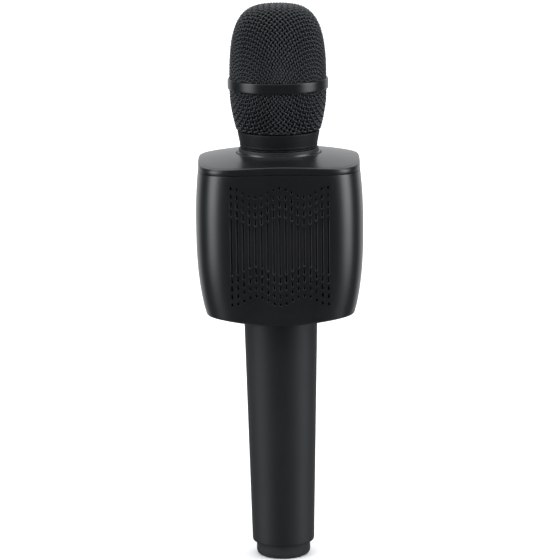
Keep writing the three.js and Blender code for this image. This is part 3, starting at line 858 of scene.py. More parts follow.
# ------------------------------------------------------------------ the microphone's forms
@dataclass(frozen=True)
class Basket:
    """Outline of the wire head, in millimetres."""

    radius: float = 23.2
    middle: float = 228.0
    top: float = 270.0
    bottom: float = 210.1
    bottom_radius: float = 20.25
    roundness: float = 3.4
    skirt_power: float = 1.7

    def dome(self, inset: float = 0.0, lowest: float = 233.0, count: int = 160) -> list[Pair]:
        """Return the dome's outline from the apex down to a height."""
        radius, rise = self.radius - inset, self.top - inset - self.middle
        points = []
        for i in range(count + 1):
            angle = math.pi / 2 * (i / count)
            z = self.middle + rise * math.cos(angle) ** (2 / self.roundness)
            if z < lowest:
                break
            points.append((radius * math.sin(angle) ** (2 / self.roundness), z))
        return points

    def skirt_radius(self, z: float) -> float:
        """Return the skirt's radius at a height."""
        down = (self.middle - z) / (self.middle - self.bottom)
        return self.radius - (self.radius - self.bottom_radius) * max(down, 0.0) ** self.skirt_power

    def skirt(self, highest: float = 230.9, count: int = 40) -> list[Pair]:
        """Return the skirt's outline from its turned-in hem upwards."""
        hem = [(18.6, 209.9), (19.5, 209.9), (20.0, 210.15), (20.35, 210.7)]
        low = 211.3
        return hem + [(self.skirt_radius(z), z) for z in
                      (low + (highest - low) * i / count for i in range(count + 1))]


@dataclass(frozen=True)
class Barrel:
    """Form of the loudspeaker housing, in millimetres."""

    width: float = 80.0
    depth: float = 72.0
    power: float = 3.7
    widest: float = 168.0
    top_apex: float = 200.0
    top_dome: float = 208.0
    bottom_apex: float = 117.1
    bottom_dome: float = 117.0
    top_shrink: float = 1.5
    bottom_shrink: float = 4.2
    low: float = 121.0
    high: float = 196.5
    wall: float = 2.2
    seam_apex: float = 195.0
    seam_dome: float = 408.0
    joint: float = 0.16
    edge: float = 1.2
    lip: float = 0.5

    @property
    def top_rate(self) -> float:
        """Return how fast the sides draw in above the widest place."""
        return self.top_shrink / (self.top_apex - 3 - self.widest) ** 2

    @property
    def bottom_rate(self) -> float:
        """Return how fast the sides draw in below the widest place."""
        return self.bottom_shrink / (self.widest - self.bottom_apex - 3.7) ** 2.7

    def shrink(self, z: float) -> float:
        """Return how far the sides have drawn in at a height."""
        above, below = max(z - self.widest, 0.0), max(self.widest - z, 0.0)
        return self.top_rate * above ** 2 + self.bottom_rate * below ** 2.7

    def deck(self, x: float, y: float) -> float:
        """Return the domed deck's height."""
        return self.top_apex - (x * x + y * y) / (2 * self.top_dome)

    def seam(self, x: float, y: float) -> float:
        """Return the height of the joint under the deck."""
        return self.seam_apex - (x * x + y * y) / (2 * self.seam_dome)

    def floor(self, x: float, y: float) -> float:
        """Return the domed underside's height."""
        return self.bottom_apex + (x * x + y * y) / (2 * self.bottom_dome)

    def front(self, x: float, z: float, inset: float = 0.0) -> float:
        """Return the front face's y at a place."""
        shrink = self.shrink(z)
        a = self.width / 2 - shrink - inset
        b = self.depth / 2 * (1 - 2 * shrink / self.width) - inset
        return -b * (1 - abs(x / a) ** self.power) ** (1 / self.power)

    def ring(self, z: float, inset: float, height: Callable[[float, float], float], bearings: Sequence[float]) -> Ring:
        """Return a ring of the housing.

        Args:
            z: Height at which the sides' drawing-in is read.
            inset: How far the ring is drawn in from the surface.
            height: Gives each point's own height from its x and y.
            bearings: Angles of the points, in radians.
        """
        shrink = self.shrink(z)
        a = self.width / 2 - shrink - inset
        b = self.depth / 2 * (1 - 2 * shrink / self.width) - inset
        ring: Ring = []
        for angle in bearings:
            c, s = math.cos(angle), math.sin(angle)
            x = a * math.copysign(abs(c) ** (2 / self.power), c)
            y = b * math.copysign(abs(s) ** (2 / self.power), s)
            ring.append((x, y, height(x, y)))
        return ring

    def side_height(self, t: float) -> Callable[[float, float], float]:
        """Return the height function of the side ring at share t of the way up."""
        level = self.low + (self.high - self.low) * t
        return lambda x, y: (level + t ** 3 * (self.seam(x, y) - self.joint / 2 - self.high)
                             + (1 - t) ** 3 * (self.floor(x, y) - self.low))


def circle(radius: float, height: Callable[[float, float], float], bearings: Sequence[float]) -> Ring:
    """Return a round ring whose points take their heights from a function."""
    ring: Ring = []
    for angle in bearings:
        x, y = radius * math.cos(angle), radius * math.sin(angle)
        ring.append((x, y, height(x, y)))
    return ring


def blended(a: Ring, b: Ring, share: float, height: Callable[[float, float], float]) -> Ring:
    """Return a ring part of the way from one ring to another, on a surface."""
    ring: Ring = []
    for p, q in zip(a, b):
        x, y = p[0] + (q[0] - p[0]) * share, p[1] + (q[1] - p[1]) * share
        ring.append((x, y, height(x, y)))
    return ring


def place(obj: bpy.types.Object, body: str, slot: str, *nodes: str) -> bpy.types.Object:
    """Let a piece ride on a body and stand for CAD nodes."""
    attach(obj, body)
    if nodes:
        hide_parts(*nodes)
    LOG.info("%s rides on %s with %d faces", obj.name, body, len(obj.data.polygons))
    return obj


# ------------------------------------------------------------------ assemblies
@dataclass(frozen=True)
class HeadSizes:
    """Sizes of the head, in millimetres."""

    pitch: float = 2.05
    wire: float = 0.48
    samples: int = 6
    turn: float = 45.0
    band_radius: float = 24.0
    band_low: float = 229.75
    band_high: float = 234.7
    collar_low: float = 202.4
    collar_high: float = 209.75


class Head:
    """The woven wire head with its band, collar and foam."""

    def __init__(self, sizes: HeadSizes, basket: Basket) -> None:
        """Keep the sizes and the outline."""
        self.s = sizes
        self.basket = basket

    def build(self) -> None:
        """Make every piece of the head."""
        self.wires()
        self.rings()
        self.foam()

    @staticmethod
    def outline(name: str, points: Sequence[Pair]) -> tuple[bpy.types.Object, float]:
        """Return an outline curve in the XZ plane and its length in metres."""
        data = bpy.data.curves.new(name, "CURVE")
        data.dimensions = "3D"
        spline = data.splines.new("POLY")
        spline.points.add(len(points) - 1)
        for point, (r, z) in zip(spline.points, points):
            point.co = (r * MM, 0.0, z * MM, 1.0)
        obj = bpy.data.objects.new(name, data)
        bpy.context.scene.collection.objects.link(obj)
        length = sum(math.dist(a, b) for a, b in zip(points, points[1:])) * MM
        return obj, length

    def wires(self) -> None:
        """Weave the dome and the skirt."""
        recipe = WovenWire()
        forms = (("dome", self.basket.dome(), 0.0, 1.0, "grille_dome"),
                 ("skirt", self.basket.skirt(), 18.6 * MM, -1.0, "grille_skirt"))
        for form, points, start, side, node in forms:
            outline, length = self.outline(f"{form}_outline", points)
            for weft, family in ((0.0, "warp"), (1.0, "weft")):
                values = {"Outline": outline, "Pitch": self.s.pitch * MM, "Inner": start, "Outer": start + length,
                          "Start": start, "Wire Radius": self.s.wire * MM, "Side": side, "Weft": weft,
                          "Turn": math.radians(self.s.turn), "Samples": self.s.samples}
                made = recipe.run(f"{form}_{family}_wires", values, WIRE)
                place(made, "head", "mesh", *([node] if family == "warp" else []))
            remove(outline)

    def rings(self) -> None:
        """Turn the band and the collar."""
        s = self.s
        r = s.band_radius
        band = turned("clamp_band", [
            (r - 2.2, s.band_low, 0.2), (r - 0.05, s.band_low, 0.55), (r, s.band_low + 1.2, 0.4),
            (r, s.band_high - 1.2, 0.4), (r - 0.05, s.band_high, 0.55), (r - 2.2, s.band_high, 0.2),
        ], BAND, 160)
        place(band, "head", "trim", "grille_band")
        collar = turned("neck_collar", [
            (16.9, s.collar_low, 0.1), (18.5, s.collar_low, 0.35), (18.62, s.collar_low + 0.9, 0.2),
            (18.5, s.collar_low + 1.05, 0.1), (18.56, s.collar_low + 1.3, 0.1), (19.65, s.collar_high - 0.5, 0.3),
            (19.45, s.collar_high, 0.25), (16.9, s.collar_high, 0.1),
        ], COLLAR, 160)
        place(collar, "head", "trim", "grille_collar")

    def foam(self) -> None:
        """Line the basket with foam."""
        outer = self.basket.dome(2.0, 212.0, 60)
        outer += [(self.basket.skirt_radius(z) - 2.0, z) for z in (228.0, 224.0, 220.0, 216.0, 212.5)]
        inner = [(max(r - 2.8, 0.0), z - (2.8 if r < 3 else 2.4)) for r, z in self.basket.dome(2.0, 216.0, 30)]
        inner += [(16.6, 212.5)]
        outline = [(r, z, 0.0) for r, z in outer] + [(r, z, 0.0) for r, z in reversed(inner)]
        foam = turned("foam_insert", [(0.0, *outline[0][1:])] + outline[1:-1] + [(0.0, *outline[-1][1:])], FOAM, 72)
        place(foam, "head", "foam", "foam_liner")


@dataclass(frozen=True)
class GrilleSizes:
    """Sizes of the loudspeaker grille's slots, in millimetres."""

    columns: int = 17
    pitch: float = 2.84
    slot: float = 0.85
    top: float = 171.0
    bottom: float = 148.0
    wave: float = 2.2
    dash_pitch: float = 3.95
    rows: int = 4
    chamfer: float = 0.2


@dataclass(frozen=True)
class NeckSizes:
    """Sizes of the neck on the deck, in millimetres."""

    foot: float = 21.2
    foot_height: float = 198.93
    seat: float = 18.95
    seat_top: float = 201.45
    spigot: float = 16.4
    spigot_top: float = 207.6
    bore: float = 13.4
    bottom: float = 196.5
    under_ring: float = 200.0


@dataclass(frozen=True)
class RearSizes:
    """Sizes of the rear shell's panel pocket, screw posts and joint strips, in millimetres."""

    panel: Pair = (0.0, 158.0)
    frame: tuple[float, float, float] = (45.2, 57.2, 8.4)
    frame_ends: Pair = (26.6, 33.2)
    pocket: tuple[float, float, float] = (40.9, 52.9, 6.3)
    pocket_floor: float = 28.25
    window: tuple[float, float, float] = (37.0, 49.0, 4.5)
    post: float = 4.3
    post_ends: Pair = (12.0, 32.2)
    well: float = 3.2
    well_floor: float = 20.0
    hole: float = 1.65
    strip_half: float = 1.5
    strip_thickness: float = 0.9
    strip_overlap: float = 0.1
    strip_foot: float = 1.5
    strip_short: float = 5.5


SCREW_PLACES: tuple[Pair, ...] = ((-29.0, 183.0), (29.0, 183.0), (-29.0, 133.0), (29.0, 133.0))


class Housing:
    """The barrel housing: deck, two shells, grille and cloth."""

    def __init__(self, barrel: Barrel, grille: GrilleSizes, neck: NeckSizes, back: RearSizes) -> None:
        """Keep the form and the sizes of the grille, the neck and the rear shell."""
        self.b = barrel
        self.grille = grille
        self.neck = neck
        self.back = back

    def build(self) -> None:
        """Make every piece of the housing."""
        self.deck()
        self.front()
        self.rear()
        self.cloth()
        self.screws()

    def deck(self) -> None:
        """Make the domed deck with its edge strip and neck."""
        b = self.b
        bearings = [2 * math.pi * i / 240 for i in range(240)]
        strip = [(2.2, 0.0), (0.3, 0.0), (0.08, 0.06), (0.0, 0.25), (0.0, 1.2)]
        edge = [(0.0, -1.05), (0.06, -0.85), (0.1, -0.7), (0.04, -0.55), (0.04, -0.42), (0.12, -0.22), (0.3, -0.07),
                (0.55, 0.0), (0.9, 0.0), (1.05, -0.05), (1.2, 0.0), (2.6, 0.0), (4.0, 0.0)]
        under = b.ring(b.high, 2.6, lambda x, y: b.deck(x, y) - 2.2, bearings)
        rings = [b.ring(b.high, i, lambda x, y, d=d: b.seam(x, y) + b.joint / 2 + d, bearings) for i, d in strip]
        rings = [under, *rings]
        rings += [b.ring(b.high, i, lambda x, y, d=d: b.deck(x, y) + d, bearings) for i, d in edge]
        n = self.neck
        foot = circle(n.foot, b.deck, bearings)
        rings += [blended(rings[-1], foot, share, b.deck) for share in (0.25, 0.5, 0.75)]
        neck = rounded([(n.foot, n.foot_height, 0), (19.8, 198.99, 0.35), (19.4, n.under_ring, 0),
                        (n.spigot, n.under_ring, 0.1), (n.spigot, n.spigot_top, 0.3), (n.bore, n.spigot_top, 0.3),
                        (n.bore, n.bottom, 0)], False, 5)
        rings += [circle(r, lambda x, y, z=z: z, bearings) for r, z in neck]
        points, faces = loft(rings, True, True)
        plate = solid("deck_plate", points, faces, SHELL)
        ring = turned("neck_ring", [
            (n.spigot, 199.0, 0), (20.6, 198.95, 0), (19.5, 199.25, 0.8), (19.15, 200.3, 0.6),
            (n.seat, n.seat_top, 0.25), (n.spigot, n.seat_top, 0)], GRIP, 192)
        place(joined("top_plate", [plate, ring]), "body", "shell", "top_deck")

    def wall(self, name: str, front: bool) -> bpy.types.Object:
        """Return one half of the barrel's wall, closed all round.

        Args:
            name: The object's name.
            front: Whether it is the half on the -Y side.
        """
        b = self.b
        sign = -1.0 if front else 1.0
        bearings = [sign * math.pi * i / 128 for i in range(129)]
        hole, seam = 18.07, b.joint / 2
        under = circle(hole, b.floor, bearings)
        rings = [under]
        foot = b.ring(b.low, b.edge, b.floor, bearings)
        for share in (0.3, 0.6, 0.8, 0.92):
            rings.append(blended(under, foot, share, lambda x, y, s=share: b.floor(x, y) - b.lip * s ** 4))
        for k in range(9):
            angle = math.pi / 2 * k / 8
            rings.append(b.ring(b.low, b.edge * (1 - math.sin(angle)),
                                lambda x, y, a=angle: b.floor(x, y) - b.lip + b.edge * (1 - math.cos(a)), bearings))
        for k in range(1, 27):
            t = 0.012 + 0.978 * k / 26
            rings.append(b.ring(b.low + (b.high - b.low) * t, 0.0, b.side_height(t), bearings))
        top = b.side_height(1.0)
        for inset, down in ((0.0, 0.3), (0.08, 0.08), (0.3, 0.0), (b.wall - 0.2, 0.0), (b.wall, 0.2)):
            rings.append(b.ring(b.high, inset, lambda x, y, d=down: top(x, y) - d, bearings))
        for t in (0.9, 0.75, 0.6, 0.45, 0.3, 0.15):
            rings.append(b.ring(b.low + (b.high - b.low) * t, b.wall, b.side_height(t), bearings))
        inner = b.ring(b.low, 5.0, lambda x, y: b.floor(x, y) + 2.2, bearings)
        rings += [inner, circle(hole, lambda x, y: b.floor(x, y) + 2.2, bearings)]
        kept = [[(x, sign * max(sign * y, seam), z) for x, y, z in ring] for ring in rings]
        return solid(name, *loft(kept, False, True), SHELL)

    def slot_tools(self) -> bpy.types.Object:
        """Return the grille's cutting tools as one object."""
        g, b = self.grille, self.b
        half = g.slot / 2
        layers = [(-0.8, half + g.chamfer), (0.0, half + g.chamfer), (g.chamfer, half), (4.5, half)]
        rows, arc = 8, 4
        around: list[tuple[float, float, float]] = []
        for k in range(rows + 1):
            around.append((1.0, -1.0 + 2.0 * k / rows, 0.0))
        around += [(math.cos(math.pi * k / arc), 1.0, math.sin(math.pi * k / arc)) for k in range(1, arc)]
        for k in range(rows + 1):
            around.append((-1.0, 1.0 - 2.0 * k / rows, 0.0))
        around += [(-math.cos(math.pi * k / arc), -1.0, -math.sin(math.pi * k / arc)) for k in range(1, arc)]
        count = len(around)
        faces = [tuple(reversed(range(count))), tuple(range((len(layers) - 1) * count, len(layers) * count))]
        for k in range(len(layers) - 1):
            for i in range(count):
                j = (i + 1) % count
                faces.append((k * count + i, k * count + j, (k + 1) * count + j, (k + 1) * count + i))
        mesh = bpy.data.meshes.new("slot_tool")
        corners = [(s * w, d, c * w, along) for d, w in layers for s, along, c in around]
        mesh.from_pydata([(x, d, z + 10 * a) for x, d, z, a in corners], [], faces)
        for key, place_in in (("side", 0), ("deep", 1), ("cap", 2), ("along", 3)):
            scale = 1.0 if key == "along" else MM
            data = mesh.attributes.new(key, "FLOAT", "POINT").data
            data.foreach_set("value", [c[place_in] * scale for c in corners])
        tool = bpy.data.objects.new("slot_tool", mesh)
        bpy.context.scene.collection.objects.link(tool)
        values = {"Tool": tool, "Columns": g.columns, "Pitch": g.pitch * MM, "Top": g.top * MM,
                  "Bottom": g.bottom * MM, "Wave": g.wave * MM, "Dash Pitch": g.dash_pitch * MM, "Rows": g.rows,
                  "Slot": g.slot * MM, "Half Width": b.width / 2 * MM, "Half Depth": b.depth / 2 * MM,
                  "Power": b.power, "Widest": b.widest * MM, "Top Rate": b.top_rate * MM / MM ** 2,
                  "Bottom Rate": b.bottom_rate * MM / MM ** 2.7}
        made = SlotTools().run("slot_tools", values, SHELL)
        remove(tool)
        return polished(made)

    def front(self) -> None:
        """Make the front shell with its slots."""
        shell = carved(self.wall("front_cover", True), [self.slot_tools()], angle=25.0)
        place(shell, "body", "shell", "front_shell")

    def rear(self) -> None:
        """Make the rear shell with its panel pocket and screw wells."""
        r, spots = self.back, sorted(SCREW_PLACES)
        shell = self.wall("rear_cover", False)
        frame_block = slab("panel_frame", r.frame, [(0, y) for y in r.frame_ends], r.panel, None)
        posts = [rod("post", r.post, r.post_ends, spot, 32) for spot in spots]
        shell = carved(shell, [frame_block, *posts], Carve.ADD)
        pocket = slab("pocket", r.pocket, [(0, r.pocket_floor), (0, 45)], r.panel, None)
        window = slab("window", r.window, [(0, 20), (0, 29)], r.panel, None)
        wells = [rod("well", r.well, (r.well_floor, 40), spot, 40) for spot in spots]
        holes = [rod("hole", r.hole, (10, r.well_floor + 1), spot, 20) for spot in spots]
        shell = carved(shell, [pocket, window, *wells, *holes], angle=25.0)
        parts = [shell, self.tongue(-1.0), self.tongue(1.0)]
        place(joined("rear_casing", parts), "body", "shell", "rear_shell")

    def tongue(self, side: float) -> bpy.types.Object:
        """Return the rear shell's strip that covers a side joint from within.

        Args:
            side: -1 for the -X side and 1 for the +X side.
        """
        b, r = self.b, self.back
        half, thick = r.strip_half, r.strip_thickness
        rings: list[Ring] = []
        for k in range(25):
            z = b.low + r.strip_foot + (b.high - b.low - r.strip_short) * k / 24
            far = b.width / 2 - b.shrink(z) - b.wall + r.strip_overlap
            rings.append([(side * (far - d), y, z) for d, y in ((0, -half), (0, half), (thick, half), (thick, -half))])
        return solid("tongue", *loft(rings), SHELL)

    def cloth(self) -> None:
        """Stretch the cloth behind the slots."""
        b = self.b
        columns, rows, low, high, half = 24, 32, 127.5, 189.0, 23.9
        inset = b.wall + 0.55
        points = []
        for j in range(rows + 1):
            z = low + (high - low) * j / rows
            for i in range(columns + 1):
                x = -half + 2 * half * i / columns
                points.append((x, b.front(x, z, inset), z))
        width = columns + 1
        faces = [(j * width + i, j * width + i + 1, (j + 1) * width + i + 1, (j + 1) * width + i)
                 for j in range(rows) for i in range(columns)]
        cloth = solid("grille_cloth", points, faces, CLOTH)
        place(cloth, "body", "cloth", "acoustic_cloth")

    def screws(self) -> None:
        """Make the four case screws with crossed recesses."""
        for i, (x, z) in enumerate(SCREW_PLACES, 1):
            screw = turned(f"cover_screw_{i}", [
                (0, -12, 0), (1.25, -11.2, 0.2), (1.25, 20.35, 0.1), (2.8, 20.35, 0.15), (2.8, 21.7, 0.3),
                (2.0, 22.5, 0.5), (0, 22.6, 0)], STEEL, 40, axis=(x, z))
            for size in ((3.0, 0.6, 0.2), (0.6, 3.0, 0.2)):
                screw = carved(screw, [slab("recess", size, [(0.08, 21.3), (0, 24)], (x, z), None, 2)], angle=28.0)
            place(screw, "body", "steel", f"case_screw_{i}")


@dataclass(frozen=True)
class Key:
    """A push key on the rear panel.

    Attributes:
        name: The key's name.
        centre: (x, z) of its middle.
        size: (width, height, corner radius).
        marks: Raised outlines on it, as lists of (x, z).
    """

    name: str
    centre: Pair
    size: tuple[float, float, float]
    marks: tuple[tuple[Pair, ...], ...]


def triangle(tip: float, tail: float, half: float) -> tuple[Pair, ...]:
    """Return an arrow head from its tip's x, its tail's x and half its height."""
    return ((tip, 0.0), (tail, half), (tail, -half))


def bar(x0: float, x1: float, z0: float, z1: float) -> tuple[Pair, ...]:
    """Return a bar's outline."""
    return ((x0, z0), (x1, z0), (x1, z1), (x0, z1))


KEYS_LAID_OUT = (
    Key("previous", (12.5, 154.0), (9.0, 7.0, 1.6),
        (triangle(0.1, -1.7, 1.25), triangle(1.9, 0.1, 1.25), bar(1.95, 2.4, -1.25, 1.25))),
    Key("play", (0.0, 154.0), (9.0, 7.0, 1.6),
        (triangle(-0.3, 1.9, 1.35), bar(-1.2, -0.75, -1.25, 1.25), bar(-2.1, -1.65, -1.25, 1.25))),
    Key("next", (-12.5, 154.0), (9.0, 7.0, 1.6),
        (triangle(-0.1, 1.7, 1.25), triangle(-1.9, -0.1, 1.25), bar(-2.4, -1.95, -1.25, 1.25))),
    Key("mode", (7.5, 144.5), (11.0, 4.6, 2.2), (bar(-1.6, 1.6, 0.35, 0.75), bar(-1.6, 1.6, -0.75, -0.35))),
    Key("effect", (-7.5, 144.5), (11.0, 4.6, 2.2),
        tuple(bar(x - 0.18, x + 0.18, -h, h)
              for x, h in ((-1.4, 0.4), (-0.7, 0.9), (0.0, 0.55), (0.7, 1.0), (1.4, 0.45)))),
)


@dataclass(frozen=True)
class PanelSizes:
    """Sizes of the rear control panel, in millimetres."""

    width: float = 40.2
    height: float = 52.2
    corner: float = 6.0
    z: float = 158.0
    face: float = 30.2
    thickness: float = 1.6
    knob_x: float = 10.2
    knob_z: float = 169.5
    knob_radius: float = 6.3
    spindle_hole: float = 3.3
    lamp: Pair = (0.0, 180.5)
    lamp_hole: tuple[float, float, float] = (16.7, 2.9, 1.4)
    usb: Pair = (-7.5, 137.6)
    usb_hole: tuple[float, float, float] = (9.7, 4.0, 1.9)
    aux: Pair = (8.5, 137.6)
    aux_hole: float = 3.35


class Controls:
    """The rear panel with its knobs, keys, lamp and sockets."""

    def __init__(self, sizes: PanelSizes) -> None:
        """Keep the sizes."""
        self.s = sizes

    def build(self) -> None:
        """Make every control."""
        self.panel()
        for name, x in (("volume", self.s.knob_x), ("echo", -self.s.knob_x)):
            self.knob(name, x)
        for key in KEYS_LAID_OUT:
            self.key(key)
        self.sockets()

    def panel(self) -> None:
        """Make the panel with its openings, printed rings and lamp."""
        s = self.s
        back = s.face - s.thickness
        layers = soft_edge(back, s.face, 0.45)
        panel = slab("control_plate", (s.width, s.height, s.corner), layers, (0.0, s.z), PANEL, 10)
        through = [(0, 20), (0, 40)]
        tools = [slab("cut", (k.size[0] + 0.7, k.size[1] + 0.7, k.size[2] + 0.3), through, k.centre, None)
                 for k in KEYS_LAID_OUT]
        tools += [rod("cut", s.spindle_hole, (20, 40), (x, s.knob_z), 32) for x in (s.knob_x, -s.knob_x)]
        tools.append(slab("cut", s.lamp_hole, through, s.lamp, None))
        tools.append(slab("cut", s.usb_hole, through, s.usb, None))
        tools.append(rod("cut", s.aux_hole, (20, 40), s.aux, 32))
        place(carved(panel, tools, angle=25.0), "body", "panel", "control_panel")
        for name, x in (("volume", s.knob_x), ("echo", -s.knob_x)):
            values = {"Count": 25, "Radius": 7.75 * MM, "X": x * MM, "Z": s.knob_z * MM, "Back": (s.face - 0.1) * MM,
                      "Front": (s.face + 0.04) * MM, "Rib Radius": 0.22 * MM}
            place(RibRing().run(f"{name}_scale_dots", values, MARK), "body", "lamp")
        lamp = slab("lamp_strip", (16.0, 2.2, 1.05), soft_edge(back - 0.6, s.face + 0.1, 0.3), s.lamp, LENS, 8)
        place(lamp, "body", "lamp", "led_window")

    def knob(self, name: str, x: float) -> None:
        """Make a knob with a ribbed grip and a pointer groove.

        Args:
            name: The knob's function.
            x: Place of its axis.
        """
        s, r = self.s, self.s.knob_radius
        finish = FacedDisc(f"{name}_knob_face", colour(0.020, 0.021, 0.023), colour(0.030, 0.032, 0.035),
                           0.22, 0.10, 0.4, grain=5200.0, depth=6e-6, centre=(x, s.knob_z))
        cap = turned(f"{name}_dial", [
            (0, 24, 0), (2.9, 24, 0.2), (2.9, s.face + 0.35, 0.1), (r - 0.15, s.face + 0.35, 0.3),
            (r - 0.25, 34.2, 0.5),
            (r - 1.0, 35.15, 0.35), (r - 1.5, 35.15, 0.2), (r - 1.75, 34.85, 0.2), (0, 34.8, 0)],
            finish, 96, axis=(x, s.knob_z))
        groove = slab("groove", (0.9, 3.8, 0.4), [(0, 34.4), (0, 36)], (x, s.knob_z + 4.1), None, 4)
        cap = carved(cap, [groove], angle=28.0)
        values = {"Count": 48, "Radius": (r - 0.22) * MM, "X": x * MM, "Z": s.knob_z * MM,
                  "Back": (s.face + 0.9) * MM, "Front": 34.1 * MM, "Rib Radius": 0.2 * MM}
        ribs = RibRing().run("ribs", values, finish)
        pointer = slab("pointer", (0.6, 3.4, 0.28), [(0, 34.45), (0, 34.62)], (x, s.knob_z + 4.1), MARK, 4)
        place(joined(f"{name}_knob_cap", [cap, polished(ribs), pointer]), name, "knob", f"{name}_knob")

    def key(self, key: Key) -> None:
        """Make a key with its raised mark.

        Args:
            key: The key to make.
        """
        width, height, corner = key.size
        cap = slab("cap", key.size, soft_edge(28.1, 31.2, 0.75), key.centre, KEYS, 8, crown=0.28)
        flange = slab("flange", (width + 1.6, height + 1.2, corner), [(0, 27.3), (0, 28.25)], key.centre, KEYS, 6)
        stem = turned("stem", [(0, 24.3, 0), (1.5, 24.3, 0.2), (1.5, 27.6, 0), (0, 27.6, 0)], KEYS, 24, axis=key.centre)
        marks = []
        for outline in key.marks:
            rings = [[(key.centre[0] + x, y, key.centre[1] + z) for x, z in outline] for y in (31.3, 31.5)]
            marks.append(solid("mark", *loft(rings), MARK))
        place(joined(f"{key.name}_key", [cap, flange, stem, *marks]), key.name, "button", f"{key.name}_button")

    def sockets(self) -> None:
        """Make the charging socket and the jack socket."""
        s = self.s
        shell = slab("usb", (9.0, 3.3, 1.6), soft_edge(22.35, s.face - 0.1, 0.12), s.usb, STEEL, 8)
        mouth = slab("mouth", (8.3, 2.6, 1.3), [(0, 23.4), (0, 30.0), (-0.12, 30.3)], s.usb, None, 8)
        shell = carved(shell, [mouth])
        tongue = slab("tongue", (6.4, 0.7, 0.2), soft_edge(23.3, s.face - 1.0, 0.12), s.usb, COMPONENT, 4)
        pads = [slab("pad", (0.28, 0.04, 0.01), [(0, 25), (0, s.face - 1.5)],
                     (s.usb[0] - 2.5 + 0.5 * i, s.usb[1] + 0.36), STEEL, 1) for i in range(11)]
        place(joined("usb_shell", [shell, tongue, *pads]), "body", "steel", "usb_socket")
        jack = turned("jack_barrel", [
            (3.0, 16.4, 0.1), (3.0, s.face - 0.1, 0.25), (2.3, s.face - 0.1, 0.15), (2.1, s.face - 0.45, 0.1),
            (1.8, s.face - 0.5, 0.15), (1.8, 17.0, 0), (0.4, 17.0, 0), (0.4, 16.4, 0)], COMPONENT, 48, axis=s.aux)
        ring = turned("jack_ring", [(1.82, 26, 0), (2.0, 26, 0), (2.0, s.face - 0.35, 0.05),
                                    (1.82, s.face - 0.35, 0.05)],
                      STEEL, 48, axis=s.aux)
        place(joined("jack_socket", [jack, ring]), "body", "component", "aux_socket")


@dataclass(frozen=True)
class HandleSizes:
    """Sizes of the handle and end cap, in millimetres."""

    bottom: float = 7.0
    bottom_radius: float = 15.1
    top: float = 118.7
    top_radius: float = 17.72
    wall: float = 2.4
    cap_radius: float = 13.1
    cap_height: float = 6.65
    switch_z: float = 103.0


class Handle:
    """The tapered handle with its power switch and end cap."""

    def __init__(self, sizes: HandleSizes) -> None:
        """Keep the sizes."""
        self.s = sizes

    def build(self) -> None:
        """Make every piece of the handle."""
        self.grip()
        self.switch()
        self.cap()

    def grip(self) -> None:
        """Turn the grip and cut its switch pocket."""
        s = self.s
        grip = turned("grip_tube", [
            (13.65, s.bottom, 0.1), (s.bottom_radius - 0.1, s.bottom, 0.75),
            (s.bottom_radius + 0.02, s.bottom + 1.2, 0.3),
            (s.top_radius, s.top, 0), (s.top_radius, 121.7, 0), (20.4, 121.7, 0), (20.4, 124.2, 0), (15.3, 124.2, 0),
            (13.0, 19.0, 0), (12.4, 18.0, 0), (12.4, 9.1, 0), (13.65, 9.1, 0)], GRIP, 160)
        pocket = slab("pocket", (9.7, 22.7, 3.7), [(0, 15.4), (0, 20)], (0.0, s.switch_z), None, 8)
        slot = slab("slot", (3.0, 8.4, 0.6), [(0, 10), (0, 16)], (0.0, s.switch_z), None, 4)
        place(carved(grip, [pocket, slot], angle=25.0), "body", "shell", "handle_tube")

    def switch(self) -> None:
        """Make the power switch's plate and ribbed slider."""
        z = self.s.switch_z
        plate = slab("slider_plate", (9.0, 22.0, 3.5), soft_edge(15.7, 16.7, 0.25), (0.0, z), PANEL, 10)
        slot = slab("slot", (3.0, 8.4, 0.6), [(0, 10), (0, 20)], (0.0, z), None, 4)
        dots = [rod("dot", radius, (16.6, 16.74), (0.0, z + dz), 24, MARK)
                for radius, dz in ((0.65, 8.0), (0.45, -8.0))]
        place(joined("switch_cover", [carved(plate, [slot], angle=25.0), *dots]), "body", "panel", "switch_plate")
        low = z - 2.0
        thumb = slab("thumb", (5.0, 7.0, 1.4), soft_edge(17.0, 18.4, 0.4), (0.0, low), COLLAR, 6)
        ribs = [slab("rib", (4.4, 0.62, 0.3), soft_edge(18.2, 18.8, 0.2), (0.0, low + dz), COLLAR, 4)
                for dz in (-2.1, -1.05, 0.0, 1.05, 2.1)]
        stem = slab("stem", (2.2, 2.8, 0.3), [(0, 12.6), (0, 17.3)], (0.0, low), COLLAR, 3)
        place(joined("power_thumb", [thumb, *ribs, stem]), "power", "knob", "power_slider")

    def cap(self) -> None:
        """Turn the end cap."""
        s, r = self.s, self.s.cap_radius
        cap = turned("base_cap", [
            (0, 0, 0), (11.3, 0, 0.5), (12.6, 0.45, 0.7), (r, 1.7, 0.6), (r, s.cap_height, 0.25), (12, s.cap_height, 0),
            (12, 16.5, 0.2), (10, 16.5, 0.2), (10, 12, 0), (0, 12, 0)], CAP, 128)
        place(cap, "cap", "trim", "end_cap")


